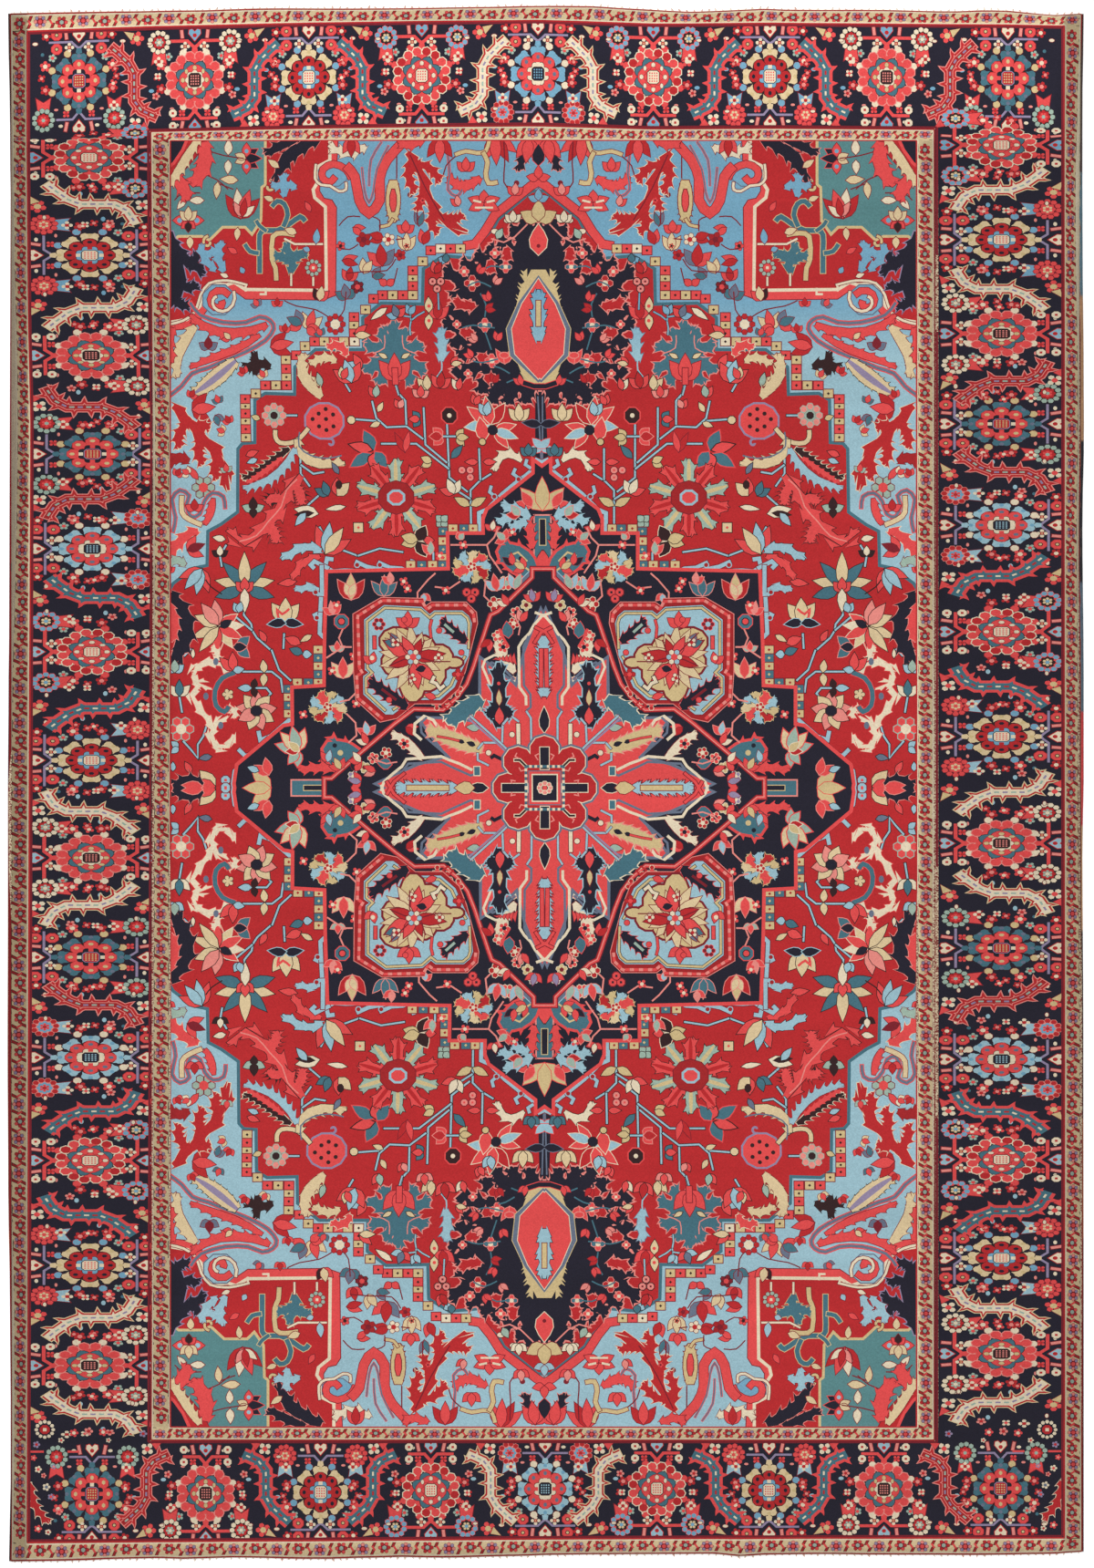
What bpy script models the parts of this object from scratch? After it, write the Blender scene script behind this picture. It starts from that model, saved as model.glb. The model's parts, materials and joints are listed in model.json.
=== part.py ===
"""A large hand-knotted wool rug lying flat: knotted body, bound long edges and fringed ends.

The rug lies in the XY plane with its long side along Y and its underside on Z = 0. Its origin is
the centre of its underside. Each edge wanders a little, as on the old rug, and short tables hold
how far. Lengths are in metres, and the tables are in millimetres.
"""
import math
import random

import bmesh
import bpy

# Driving sizes of the whole rug, over the bindings and the fringe tips
WIDTH = 3.450
LENGTH = 5.000
MM = 0.001

# The knotted body
BODY_HEIGHT = 0.0095
BODY_RIM_HEIGHT = 0.0070
BODY_RIM_WIDTH = 0.012
BODY_CELLS_ACROSS = 44
BODY_CELLS_ALONG = 42
# Soft swells of its face: height in millimetres, waves across, waves along, phase
SWELLS = (
    (0.45, 1.3, 2.1, 0.4),
    (0.30, 2.6, 1.2, 2.0),
    (0.25, 0.7, 4.3, 4.1),
)

# Touching pieces stay this far apart
CLEARANCE = 0.0003

# The bound long edges: share of the side from its near end, inset of the outer face, width
LEFT_SIDE = (
    (0.000, 5, 5), (0.055, 10, 5), (0.090, 10, 6), (0.163, 8, 7), (0.243, 2, 3),
    (0.332, 0, 3), (0.420, 1, 3), (0.500, 1, 3), (0.560, 3, 4), (0.631, 7, 11),
    (0.670, 13, 10), (0.725, 18, 9), (0.772, 17, 9), (0.837, 12, 5), (0.925, 8, 5),
    (1.000, 2, 6),
)
RIGHT_SIDE = (
    (0.000, 1, 4), (0.163, 1, 4), (0.332, 2, 4), (0.460, 5, 6), (0.500, 1, 12),
    (0.566, 1, 13), (0.670, 5, 13), (0.725, 0, 13), (0.772, 1, 13), (0.837, 4, 16),
    (0.890, 5, 17), (0.937, 5, 10), (1.000, 1, 5),
)
BINDING_HEIGHT = 0.0085
BINDING_SIDES = 8

# The ends: share of the width from the left, inset of the body's edge from the rug's full length
FAR_END = (
    (0.000, 32), (0.044, 29), (0.103, 26), (0.163, 23), (0.247, 16), (0.315, 17),
    (0.366, 16), (0.434, 12), (0.501, 8), (0.544, 9), (0.586, 19), (0.637, 28),
    (0.671, 23), (0.696, 17), (0.730, 21), (0.806, 21), (0.878, 26), (0.920, 21),
    (0.950, 31), (0.980, 39), (1.000, 33),
)
NEAR_END = (
    (0.000, 9), (0.044, 11), (0.078, 14), (0.103, 18), (0.146, 20), (0.163, 17),
    (0.205, 22), (0.290, 17), (0.332, 21), (0.366, 24), (0.400, 21), (0.467, 26),
    (0.501, 30), (0.544, 32), (0.662, 34), (0.679, 25), (0.700, 31), (0.755, 33),
    (0.806, 31), (0.908, 30), (0.967, 33), (1.000, 40),
)

# The fringe: locks of warp ends on a narrow flat-woven strip
STRIP_WIDTH = 0.0022
STRIP_HEIGHT = 0.0030
LOCKS_PER_CELL = 3
LOCK_SHARE = 0.62
LOCK_LENGTHS = (0.0050, 0.0095)
LOCK_TIP_HEIGHT = 0.0014
LOCK_TIP_SHARE = 0.45
LOCK_LEAN = 0.0025

# Colours as linear red, green and blue
BODY_COLOUR = (0.40, 0.035, 0.035, 1)
BINDING_COLOUR = (0.030, 0.018, 0.016, 1)
FRINGE_COLOUR = (0.62, 0.50, 0.36, 1)


def clear_scene():
    for thing in list(bpy.data.objects):
        bpy.data.objects.remove(thing, do_unlink=True)


def eased(table, share, column):
    """A table's column at a share of the side, with a cosine blend from row to row."""
    for low, high in zip(table, table[1:]):
        if share <= high[0]:
            t = (share - low[0]) / (high[0] - low[0])
            blend = (1 - math.cos(math.pi * max(0.0, t))) / 2
            return (low[column] + (high[column] - low[column]) * blend) * MM
    return table[-1][column] * MM


def grid_shares(cells, rim):
    """Grid lines from 0 to 1: a narrow rim cell at each end and even cells between."""
    inner = [rim + (1 - 2 * rim) * k / cells for k in range(cells + 1)]
    return [0.0, *inner, 1.0]


def between_lines(lines, share, value):
    """A value read at the grid lines and straight between them, as the body's mesh runs."""
    for low, high in zip(lines, lines[1:]):
        if share <= high:
            t = (share - low) / (high - low)
            return value(low) + (value(high) - value(low)) * t
    return value(lines[-1])


def body_point(u, v):
    """The body's plan: u runs 0 to 1 from its left edge to its right, v from its near end on."""
    across = grid_shares(BODY_CELLS_ACROSS, BODY_RIM_WIDTH / WIDTH)
    along = grid_shares(BODY_CELLS_ALONG, BODY_RIM_WIDTH / LENGTH)

    def side_inset(table):
        return between_lines(along, v, lambda s: eased(table, s, 1) + eased(table, s, 2))

    def end_inset(table):
        return between_lines(across, u, lambda s: eased(table, s, 1))

    left = -WIDTH / 2 + side_inset(LEFT_SIDE)
    right = WIDTH / 2 - side_inset(RIGHT_SIDE)
    near = -LENGTH / 2 + end_inset(NEAR_END)
    far = LENGTH / 2 - end_inset(FAR_END)
    return left + (right - left) * u, near + (far - near) * v


def swell(x, y):
    """How far the face stands over or under its mean height at a place."""
    return MM * sum(
        high * math.sin(2 * math.pi * (across * x / WIDTH + along * y / LENGTH) + phase)
        for high, across, along, phase in SWELLS
    )


def finish_mesh(name, bm, colour, roughness, smooth_angle=40):
    """Turns a closed bmesh into a named object with its own material."""
    bmesh.ops.recalc_face_normals(bm, faces=bm.faces)
    mesh = bpy.data.meshes.new(name)
    bm.to_mesh(mesh)
    bm.free()
    mesh.shade_smooth()
    mesh.set_sharp_from_angle(angle=math.radians(smooth_angle))
    material = bpy.data.materials.new(name)
    material.use_nodes = True
    shader = material.node_tree.nodes["Principled BSDF"]
    shader.inputs["Base Color"].default_value = colour
    shader.inputs["Roughness"].default_value = roughness
    shader.inputs["Metallic"].default_value = 0.0
    mesh.materials.append(material)
    thing = bpy.data.objects.new(name, mesh)
    bpy.context.scene.collection.objects.link(thing)
    return thing


def make_body():
    """The knotted body: a flat slab with a wandering outline and a face of soft swells."""
    bm = bmesh.new()
    across = grid_shares(BODY_CELLS_ACROSS, BODY_RIM_WIDTH / WIDTH)
    along = grid_shares(BODY_CELLS_ALONG, BODY_RIM_WIDTH / LENGTH)
    face = []
    for v in along:
        row = []
        for u in across:
            x, y = body_point(u, v)
            on_rim = u in (0.0, 1.0) or v in (0.0, 1.0)
            height = BODY_RIM_HEIGHT if on_rim else BODY_HEIGHT
            row.append(bm.verts.new((x, y, height + swell(x, y))))
        face.append(row)
    for low, high in zip(face, face[1:]):
        for k in range(len(low) - 1):
            bm.faces.new((low[k], low[k + 1], high[k + 1], high[k]))
    rim = (
        face[0]
        + [row[-1] for row in face[1:]]
        + face[-1][-2::-1]
        + [row[0] for row in face[-2:0:-1]]
    )
    foot = [bm.verts.new((vert.co.x, vert.co.y, 0.0)) for vert in rim]
    for k, vert in enumerate(rim):
        after = (k + 1) % len(rim)
        bm.faces.new((foot[k], foot[after], rim[after], vert))
    bm.faces.new(foot[::-1])
    return finish_mesh("knotted_body", bm, BODY_COLOUR, 0.9)


def make_binding(name, table, side, colour):
    """A long edge's overcast binding: a flattened cord of changing width beside the body."""
    bm = bmesh.new()
    rings = []
    for v in grid_shares(BODY_CELLS_ALONG, BODY_RIM_WIDTH / LENGTH):
        edge_x, y = body_point(0.0 if side < 0 else 1.0, v)
        width = eased(table, v, 2) - CLEARANCE
        middle = edge_x + side * (CLEARANCE + width / 2)
        ring = []
        for n in range(BINDING_SIDES):
            angle = 2 * math.pi * (n + 0.5) / BINDING_SIDES
            reach = math.cos(math.pi / BINDING_SIDES)
            across = math.cos(angle) / reach * width / 2
            up = (1 + math.sin(angle) / reach) * BINDING_HEIGHT / 2
            ring.append(bm.verts.new((middle + across, y, up)))
        rings.append(ring)
    for low, high in zip(rings, rings[1:]):
        for n in range(BINDING_SIDES):
            after = (n + 1) % BINDING_SIDES
            bm.faces.new((low[n], low[after], high[after], high[n]))
    bm.faces.new(rings[0][::-1])
    bm.faces.new(rings[-1])
    return finish_mesh(name, bm, colour, 0.85)


def fringe_shares():
    """Places along the strip, and which of them start a lock. Each body cell holds a few locks."""
    rim = BODY_RIM_WIDTH / WIDTH
    lines = grid_shares(BODY_CELLS_ACROSS, rim)
    shares, lock_starts = [], set()
    for low, high in zip(lines, lines[1:]):
        shares.append(low)
        pitch = (high - low) / LOCKS_PER_CELL
        if pitch < rim:
            continue
        for k in range(LOCKS_PER_CELL):
            start = low + (k + (1 - LOCK_SHARE) / 2) * pitch
            lock_starts.add(len(shares))
            shares += [start, start + pitch * LOCK_SHARE]
    shares.append(1.0)
    return shares, lock_starts


def make_fringe(name, v, outward, seed):
    """An end's fringe: locks that lie on the floor, their roots fused into a narrow strip."""
    draw = random.Random(seed)
    bm = bmesh.new()
    limit = LENGTH / 2

    def column(u, out, height):
        """A vertex on the floor and one over it, a way out from the body's edge."""
        x, y = body_point(u, v)
        y = y + outward * (CLEARANCE + out)
        return bm.verts.new((x, y, 0.0)), bm.verts.new((x, y, height))

    shares, lock_starts = fringe_shares()
    back = [column(u, 0.0, STRIP_HEIGHT) for u in shares]
    front = [column(u, STRIP_WIDTH, STRIP_HEIGHT) for u in shares]
    last = len(shares) - 1
    for k in range(last):
        near_low, near_high = back[k]
        next_low, next_high = back[k + 1]
        far_low, far_high = front[k]
        far_next_low, far_next_high = front[k + 1]
        bm.faces.new((near_high, next_high, far_next_high, far_high))
        bm.faces.new((near_low, far_low, far_next_low, next_low))
        bm.faces.new((near_low, next_low, next_high, near_high))
        if k not in lock_starts:
            bm.faces.new((far_low, far_high, far_next_high, far_next_low))
            continue
        lean = draw.uniform(-LOCK_LEAN, LOCK_LEAN)
        length = draw.uniform(*LOCK_LENGTHS)
        root_a, root_b = far_low.co, far_next_low.co
        centre_x = (root_a.x + root_b.x) / 2 + lean
        half = (root_b.x - root_a.x) / 2 * LOCK_TIP_SHARE
        tip_y = (root_a.y + root_b.y) / 2 + outward * length
        tip_y = min(tip_y, limit) if outward > 0 else max(tip_y, -limit)
        tips = [
            bm.verts.new((centre_x + step * half, tip_y, z))
            for step in (-1, 1)
            for z in (0.0, LOCK_TIP_HEIGHT)
        ]
        a_low, a_high, b_low, b_high = tips
        bm.faces.new((far_high, far_next_high, b_high, a_high))
        bm.faces.new((far_low, a_low, b_low, far_next_low))
        bm.faces.new((far_low, far_high, a_high, a_low))
        bm.faces.new((far_next_low, b_low, b_high, far_next_high))
        bm.faces.new((a_low, a_high, b_high, b_low))
    bm.faces.new((back[0][0], back[0][1], front[0][1], front[0][0]))
    bm.faces.new((back[last][0], front[last][0], front[last][1], back[last][1]))
    return finish_mesh(name, bm, FRINGE_COLOUR, 0.95, 20)


def main():
    clear_scene()
    rug = bpy.data.objects.new("rug", None)
    bpy.context.scene.collection.objects.link(rug)
    pieces = (
        make_body(),
        make_binding("binding_left", LEFT_SIDE, -1, BINDING_COLOUR),
        make_binding("binding_right", RIGHT_SIDE, 1, BINDING_COLOUR),
        make_fringe("fringe_far", 1.0, 1, 7),
        make_fringe("fringe_near", 0.0, -1, 11),
    )
    for piece in pieces:
        piece.parent = rug


main()
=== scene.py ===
"""Looks of a worn hand-knotted wool rug: foundation, pile, side bindings and warp fringe."""
import json

import bpy
import numpy as np
from mathutils.bvhtree import BVHTree
from mathutils.geometry import delaunay_2d_cdt
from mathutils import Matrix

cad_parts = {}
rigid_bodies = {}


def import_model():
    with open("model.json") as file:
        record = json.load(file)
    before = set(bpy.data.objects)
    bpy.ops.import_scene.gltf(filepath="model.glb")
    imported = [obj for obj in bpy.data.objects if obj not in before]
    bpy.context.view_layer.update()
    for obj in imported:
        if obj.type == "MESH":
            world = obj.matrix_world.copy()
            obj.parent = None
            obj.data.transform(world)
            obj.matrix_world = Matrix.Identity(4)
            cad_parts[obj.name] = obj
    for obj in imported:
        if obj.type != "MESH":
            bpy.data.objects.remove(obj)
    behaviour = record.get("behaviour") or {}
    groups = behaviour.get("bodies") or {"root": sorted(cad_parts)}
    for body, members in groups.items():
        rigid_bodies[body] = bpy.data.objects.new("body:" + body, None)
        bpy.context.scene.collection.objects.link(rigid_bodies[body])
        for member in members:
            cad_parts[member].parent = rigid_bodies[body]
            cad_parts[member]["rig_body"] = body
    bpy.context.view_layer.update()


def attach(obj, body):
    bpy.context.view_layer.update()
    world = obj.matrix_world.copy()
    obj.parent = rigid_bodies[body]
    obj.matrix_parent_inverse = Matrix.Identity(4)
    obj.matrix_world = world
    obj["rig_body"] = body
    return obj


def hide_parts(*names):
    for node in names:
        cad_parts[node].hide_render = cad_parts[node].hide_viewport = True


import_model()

# Woven foundation.
# Cotton warps and wefts carry the knots. From above only its rim shows, and from below its face of
# flat knot backs. It is one thin slab with the rug's own wandering outline, and it lies on the floor.
MM = 0.001
WIDTH = 3.450
LENGTH = 5.000
PILE_HEIGHT = 9.5 * MM
RIM_HEIGHT = 7.0 * MM
RIM_WIDTH = 12 * MM
CELLS_ACROSS = 44
CELLS_ALONG = 42
# Height in millimetres, waves across, waves along and phase of the soft swells of its face
SWELLS = ((0.45, 1.3, 2.1, 0.4), (0.30, 2.6, 1.2, 2.0), (0.25, 0.7, 4.3, 4.1))
# Share of the side from its near end, inset of the binding's outer face and its width, in millimetres
LEFT_SIDE = np.array((
    (0.000, 5, 5), (0.055, 10, 5), (0.090, 10, 6), (0.163, 8, 7), (0.243, 2, 3), (0.332, 0, 3),
    (0.420, 1, 3), (0.500, 1, 3), (0.560, 3, 4), (0.631, 7, 11), (0.670, 13, 10), (0.725, 18, 9),
    (0.772, 17, 9), (0.837, 12, 5), (0.925, 8, 5), (1.000, 2, 6)))
RIGHT_SIDE = np.array((
    (0.000, 1, 4), (0.163, 1, 4), (0.332, 2, 4), (0.460, 5, 6), (0.500, 1, 12), (0.566, 1, 13),
    (0.670, 5, 13), (0.725, 0, 13), (0.772, 1, 13), (0.837, 4, 16), (0.890, 5, 17), (0.937, 5, 10),
    (1.000, 1, 5)))
# Share of the width from the left and how far the body stops short of the rug's length
FAR_END = np.array((
    (0.000, 32), (0.044, 29), (0.103, 26), (0.163, 23), (0.247, 16), (0.315, 17), (0.366, 16),
    (0.434, 12), (0.501, 8), (0.544, 9), (0.586, 19), (0.637, 28), (0.671, 23), (0.696, 17),
    (0.730, 21), (0.806, 21), (0.878, 26), (0.920, 21), (0.950, 31), (0.980, 39), (1.000, 33)))
NEAR_END = np.array((
    (0.000, 9), (0.044, 11), (0.078, 14), (0.103, 18), (0.146, 20), (0.163, 17), (0.205, 22),
    (0.290, 17), (0.332, 21), (0.366, 24), (0.400, 21), (0.467, 26), (0.501, 30), (0.544, 32),
    (0.662, 34), (0.679, 25), (0.700, 31), (0.755, 33), (0.806, 31), (0.908, 30), (0.967, 33),
    (1.000, 40)))


def eased(table, share, column):
    """A table's column at each share: a cosine blend from one row to the next, in metres."""
    share = np.clip(share, 0, 1)
    row = np.clip(np.searchsorted(table[:, 0], share, side="right") - 1, 0, len(table) - 2)
    low, high = table[row], table[row + 1]
    t = np.clip((share - low[..., 0]) / (high[..., 0] - low[..., 0]), 0, 1)
    return (low[..., column] + (high[..., column] - low[..., column]) * (1 - np.cos(np.pi * t)) / 2) * MM


def grid_shares(cells, rim):
    """Grid lines from 0 to 1: a narrow rim cell at each end and even cells between."""
    return np.concatenate(([0.0], np.linspace(rim, 1 - rim, cells + 1), [1.0]))


ACROSS = grid_shares(CELLS_ACROSS, RIM_WIDTH / WIDTH)
ALONG = grid_shares(CELLS_ALONG, RIM_WIDTH / LENGTH)


def side_inset(table, v, parts=(1, 2)):
    """How far the body's side lies inside the rug's width: read at the grid lines, straight between."""
    return np.interp(v, ALONG, sum(eased(table, ALONG, part) for part in parts))


def end_inset(table, u):
    """How far the body's end lies inside the rug's length, read in the same way."""
    return np.interp(u, ACROSS, eased(table, ACROSS, 1))


def body_plan(u, v):
    """Plan of the body: straight lines between its two sides, and between its two ends."""
    left = -WIDTH / 2 + side_inset(LEFT_SIDE, v)
    right = WIDTH / 2 - side_inset(RIGHT_SIDE, v)
    near = -LENGTH / 2 + end_inset(NEAR_END, u)
    far = LENGTH / 2 - end_inset(FAR_END, u)
    return left + (right - left) * u, near + (far - near) * v


def swell(x, y):
    """Sum of three long sine waves across and along the rug."""
    return sum(high * MM * np.sin(2 * np.pi * (across * x / WIDTH + along * y / LENGTH) + phase)
               for high, across, along, phase in SWELLS)


def ends_at(x):
    """Near and far edge of the body at each x."""
    span = body_plan(np.array((0.0, 1.0)), np.array((0.0, 0.0)))[0]
    u = np.clip((x - span[0]) / (span[1] - span[0]), 0, 1)
    return -LENGTH / 2 + end_inset(NEAR_END, u), LENGTH / 2 - end_inset(FAR_END, u)


def sides_at(y):
    """Left and right edge of the body at each y."""
    rows = []
    for u in (0.0, 1.0):
        span = body_plan(np.array((u, u)), np.array((0.0, 1.0)))[1]
        rows.append(np.clip((y - span[0]) / (span[1] - span[0]), 0, 1))
    return -WIDTH / 2 + side_inset(LEFT_SIDE, rows[0]), WIDTH / 2 - side_inset(RIGHT_SIDE, rows[1])


def face_height(x, y):
    """Top of the pile: its height and the swells, rounded off over the last millimetres of the rim."""
    near, far = ends_at(x)
    left, right = sides_at(y)
    inside = np.minimum(np.minimum(x - left, right - x), np.minimum(y - near, far - y))
    rim = np.clip(inside / RIM_WIDTH, 0, 1)
    return RIM_HEIGHT + (PILE_HEIGHT - RIM_HEIGHT) * np.sin(rim * np.pi / 2) + swell(x, y)


def new_mesh(name, points, faces):
    """A smooth mesh object from an array of points and one array of faces with equal corner counts."""
    mesh = bpy.data.meshes.new(name)
    mesh.vertices.add(len(points))
    mesh.vertices.foreach_set("co", np.asarray(points, np.float32).ravel())
    mesh.loops.add(faces.size)
    mesh.loops.foreach_set("vertex_index", faces.astype(np.int32).ravel())
    mesh.polygons.add(len(faces))
    mesh.polygons.foreach_set("loop_start", np.arange(0, faces.size, faces.shape[1], dtype=np.int32))
    mesh.polygons.foreach_set("use_smooth", np.ones(len(faces), bool))
    mesh.update(calc_edges=True)
    mesh.validate()
    piece = bpy.data.objects.new(name, mesh)
    bpy.context.collection.objects.link(piece)
    return piece


def grid_faces(rows, columns, start=0):
    """Squares of a grid of points numbered row by row."""
    corner = start + (np.arange(rows - 1)[:, None] * columns + np.arange(columns - 1)).ravel()
    return np.stack((corner, corner + 1, corner + columns + 1, corner + columns), 1)


class Link:
    """A shader socket that can be added, multiplied and so on with numbers and other sockets."""

    def __init__(self, wiring, socket):
        self.wiring, self.socket = wiring, socket

    def maths(self, operation, *others):
        node = self.wiring.node("Math", {"operation": operation}, {
            slot: value for slot, value in enumerate((self, *others))})
        return Link(self.wiring, node.outputs[0])

    def __add__(self, other):
        return self.maths("ADD", other)

    def __mul__(self, other):
        return self.maths("MULTIPLY", other)

    __radd__ = __add__
    __rmul__ = __mul__

    def between(self, low, high):
        """0 below low, 1 above high and smooth between."""
        node = self.wiring.node("MapRange", {"interpolation_type": "SMOOTHSTEP"}, {
            "Value": self, "From Min": low, "From Max": high})
        return Link(self.wiring, node.outputs["Result"])


class Wiring:
    """One material's nodes."""

    def __init__(self, name):
        self.material = bpy.data.materials.new(name)
        self.material.use_nodes = True
        self.tree = self.material.node_tree
        self.shader = self.tree.nodes["Principled BSDF"]

    def node(self, kind, settings, values):
        """A node of a type, with its settings made first and then its sockets' values or links."""
        node = self.tree.nodes.new("ShaderNode" + kind)
        for name, value in settings.items():
            setattr(node, name, value)
        self.fill(node, values)
        return node

    def fill(self, node, values):
        for name, value in values.items():
            if isinstance(value, Link):
                self.tree.links.new(value.socket, node.inputs[name])
            else:
                node.inputs[name].default_value = value

    def place(self, scale):
        """Object coordinates times a scale for each axis."""
        spot = self.node("TexCoord", {}, {})
        node = self.node("Mapping", {}, {"Vector": Link(self, spot.outputs["Object"]), "Scale": scale})
        return Link(self, node.outputs[0])

    def noise(self, scale, detail=2.0, roughness=0.5):
        """Noise with that many bumps per metre along X, Y and Z."""
        node = self.node("TexNoise", {}, {
            "Vector": self.place(scale), "Scale": 1.0, "Detail": detail, "Roughness": roughness})
        return Link(self, node.outputs[0])

    def knots(self, pitch):
        """A random value for each knot, all over it the same."""
        cell = self.node("VectorMath", {"operation": "FLOOR"}, {0: self.place((1 / pitch, 1 / pitch, 0.0))})
        node = self.node("TexWhiteNoise", {"noise_dimensions": "2D"}, {
            "Vector": Link(self, cell.outputs[0])})
        return Link(self, node.outputs["Value"])

    def mix(self, factor, first, second, blend="MIX"):
        """Two colours mixed by a factor."""
        node = self.node("Mix", {"data_type": "RGBA", "blend_type": blend}, {0: factor, 6: first, 7: second})
        return Link(self, node.outputs[2])

    def shade(self, colour, amount):
        """A colour made darker or lighter by an amount, 1 leaving it as it is."""
        grey = self.node("CombineColor", {}, {0: amount, 1: amount, 2: amount})
        return self.mix(1.0, colour, Link(self, grey.outputs[0]), "MULTIPLY")

    def bump(self, height, distance, strength=1.0):
        node = self.node("Bump", {}, {"Height": height, "Distance": distance, "Strength": strength})
        return Link(self, node.outputs[0])


def linear(colour):
    """A colour given as it looks on a screen, 0 to 255, as linear red, green and blue."""
    share = np.array(colour, float) / 255
    low = share / 12.92
    high = ((share + 0.055) / 1.055) ** 2.4
    return (*np.where(share <= 0.04045, low, high), 1.0)


FOUNDATION_DROP = 0.7 * MM
COTTON = (206, 190, 158)
BACK_RED = (120, 44, 40)


def foundation_mesh():
    """Two faces over one grid of the body's plan: the top just under the pile's height, the bottom at
    zero, and a wall between them all round."""
    u, v = np.meshgrid(ACROSS, ALONG)
    x, y = body_plan(u, v)
    edge = (u == 0) | (u == 1) | (v == 0) | (v == 1)
    top = face_height(x, y) - np.where(edge, 0.0, FOUNDATION_DROP)
    bottom = np.zeros_like(x)
    points = np.concatenate([np.stack((x, y, z), -1).reshape(-1, 3) for z in (top, bottom)])
    rows, columns = x.shape
    count = rows * columns
    upper = grid_faces(rows, columns)
    lower = grid_faces(rows, columns, count)[:, ::-1]
    ring = np.concatenate((
        np.arange(columns), np.arange(1, rows) * columns + columns - 1,
        (rows - 1) * columns + np.arange(columns - 2, -1, -1), np.arange(rows - 2, 0, -1) * columns))
    after = np.roll(ring, -1)
    wall = np.stack((ring + count, after + count, after, ring), 1)
    return new_mesh("foundation", points, np.concatenate((upper, lower, wall)))


foundation = foundation_mesh()
KNOT = 2.92 * MM


def cotton_finish():
    """Cotton warps in fine ribs along Y, dusted red where the knot backs come through."""
    wiring = Wiring("cotton_foundation")
    ribs = wiring.noise((2 / KNOT, 40.0, 40.0), 1.0)
    backs = wiring.knots(KNOT)
    colour = wiring.mix(backs.between(0.25, 0.75), linear(COTTON), linear(BACK_RED))
    wiring.fill(wiring.shader, {
        "Base Color": wiring.shade(colour, ribs * 0.5 + 0.7), "Roughness": 0.95,
        "Normal": wiring.bump(ribs, 0.4 * MM)})
    return wiring.material


foundation.data.materials.append(cotton_finish())
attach(foundation, "root")

# Pile of the field.
# Wool knots cut to one height, in eighteen dyes. One quarter is drawn here, its places counted in knots from
# the middle of the rug, and the weaver repeated it mirrored, a little out of true on each side.
DYES = {
    "madder": (190, 36, 40), "brick": (166, 30, 34), "coral": (232, 76, 76), "pink": (238, 142, 132),
    "ivory": (236, 220, 190), "sand": (214, 190, 138), "sky": (158, 196, 208), "blue": (118, 170, 196),
    "teal": (66, 114, 128), "sea": (88, 138, 140), "sage": (160, 184, 168), "navy": (20, 25, 42),
    "soot": (46, 24, 26), "lilac": (150, 136, 166), "slate": (104, 116, 136), "maroon": (126, 24, 38),
    "straw": (226, 202, 158), "olive": (74, 76, 58)}


def ring(*numbers):
    """Points of an outline from a row of numbers: x, y, x, y and so on."""
    return np.array(numbers, float).reshape(-1, 2)


def anticlockwise(points):
    """The outline without doubled points, turning left and starting from its lowest point."""
    points = points[np.abs(points - np.roll(points, 1, 0)).max(1) > 1e-6]
    after = np.roll(points, -1, 0)
    if np.sum(points[:, 0] * after[:, 1] - after[:, 0] * points[:, 1]) < 0:
        points = points[::-1]
    return np.roll(points, -np.lexsort((points[:, 0], points[:, 1]))[0], 0)


def outward(points):
    """For each corner the step that moves both of its sides out by one, cut short at sharp tips."""
    along = np.roll(points, -1, 0) - points
    along /= np.hypot(*along.T)[:, None] + 1e-9
    side = np.stack((along[:, 1], -along[:, 0]), 1)
    before = np.roll(side, 1, 0)
    return (side + before) / np.maximum(1 + np.sum(side * before, 1), 0.3)[:, None]


def grown(points, by):
    """The outline moved out by a width all round."""
    points = anticlockwise(points)
    return points + by * outward(points)


def strip(points, width):
    """Outline of a line of a width drawn along an open path."""
    along = np.diff(points, axis=0)
    along /= np.hypot(*along.T)[:, None] + 1e-9
    side = np.stack((-along[:, 1], along[:, 0]), 1)
    before, after = np.concatenate((side[:1], side)), np.concatenate((side, side[-1:]))
    step = (before + after) / np.maximum(1 + np.sum(before * after, 1), 0.4)[:, None] * width / 2
    return np.concatenate((points + step, (points - step)[::-1]))


def along_path(path, shares):
    """Points and left-hand sides at shares of a path's length."""
    length = np.concatenate(([0.0], np.cumsum(np.hypot(*np.diff(path, axis=0).T))))
    at = shares * length[-1]
    points = np.stack([np.interp(at, length, path[:, k]) for k in (0, 1)], 1)
    ahead, behind = (np.stack([np.interp(at + step, length, path[:, k]) for k in (0, 1)], 1)
                     for step in (1.5, -1.5))
    way = ahead - behind
    way /= np.hypot(*way.T)[:, None] + 1e-9
    return points, np.stack((-way[:, 1], way[:, 0]), 1)


def smooth(points, steps=2):
    """A path through the same points, rounded between them: a Catmull-Rom blend of each four neighbours."""
    ends = np.concatenate((2 * points[:1] - points[1:2], points, 2 * points[-1:] - points[-2:-1]))
    t = (np.arange(steps) / steps)[:, None]
    rows = [(2 * b + (c - a) * t + (2 * a - 5 * b + 4 * c - d) * t ** 2
             + (3 * b - a - 3 * c + d) * t ** 3) / 2
            for a, b, c, d in zip(ends, ends[1:], ends[2:], ends[3:])]
    return np.concatenate(rows + [points[-1:]])


# Outline of one curved tooth: share of its half width along the leaf, share of its reach out from it
TOOTH = ((1.0, 0.0), (0.3, 0.5), (0.0, 1.0), (-1.0, 0.0))


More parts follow.
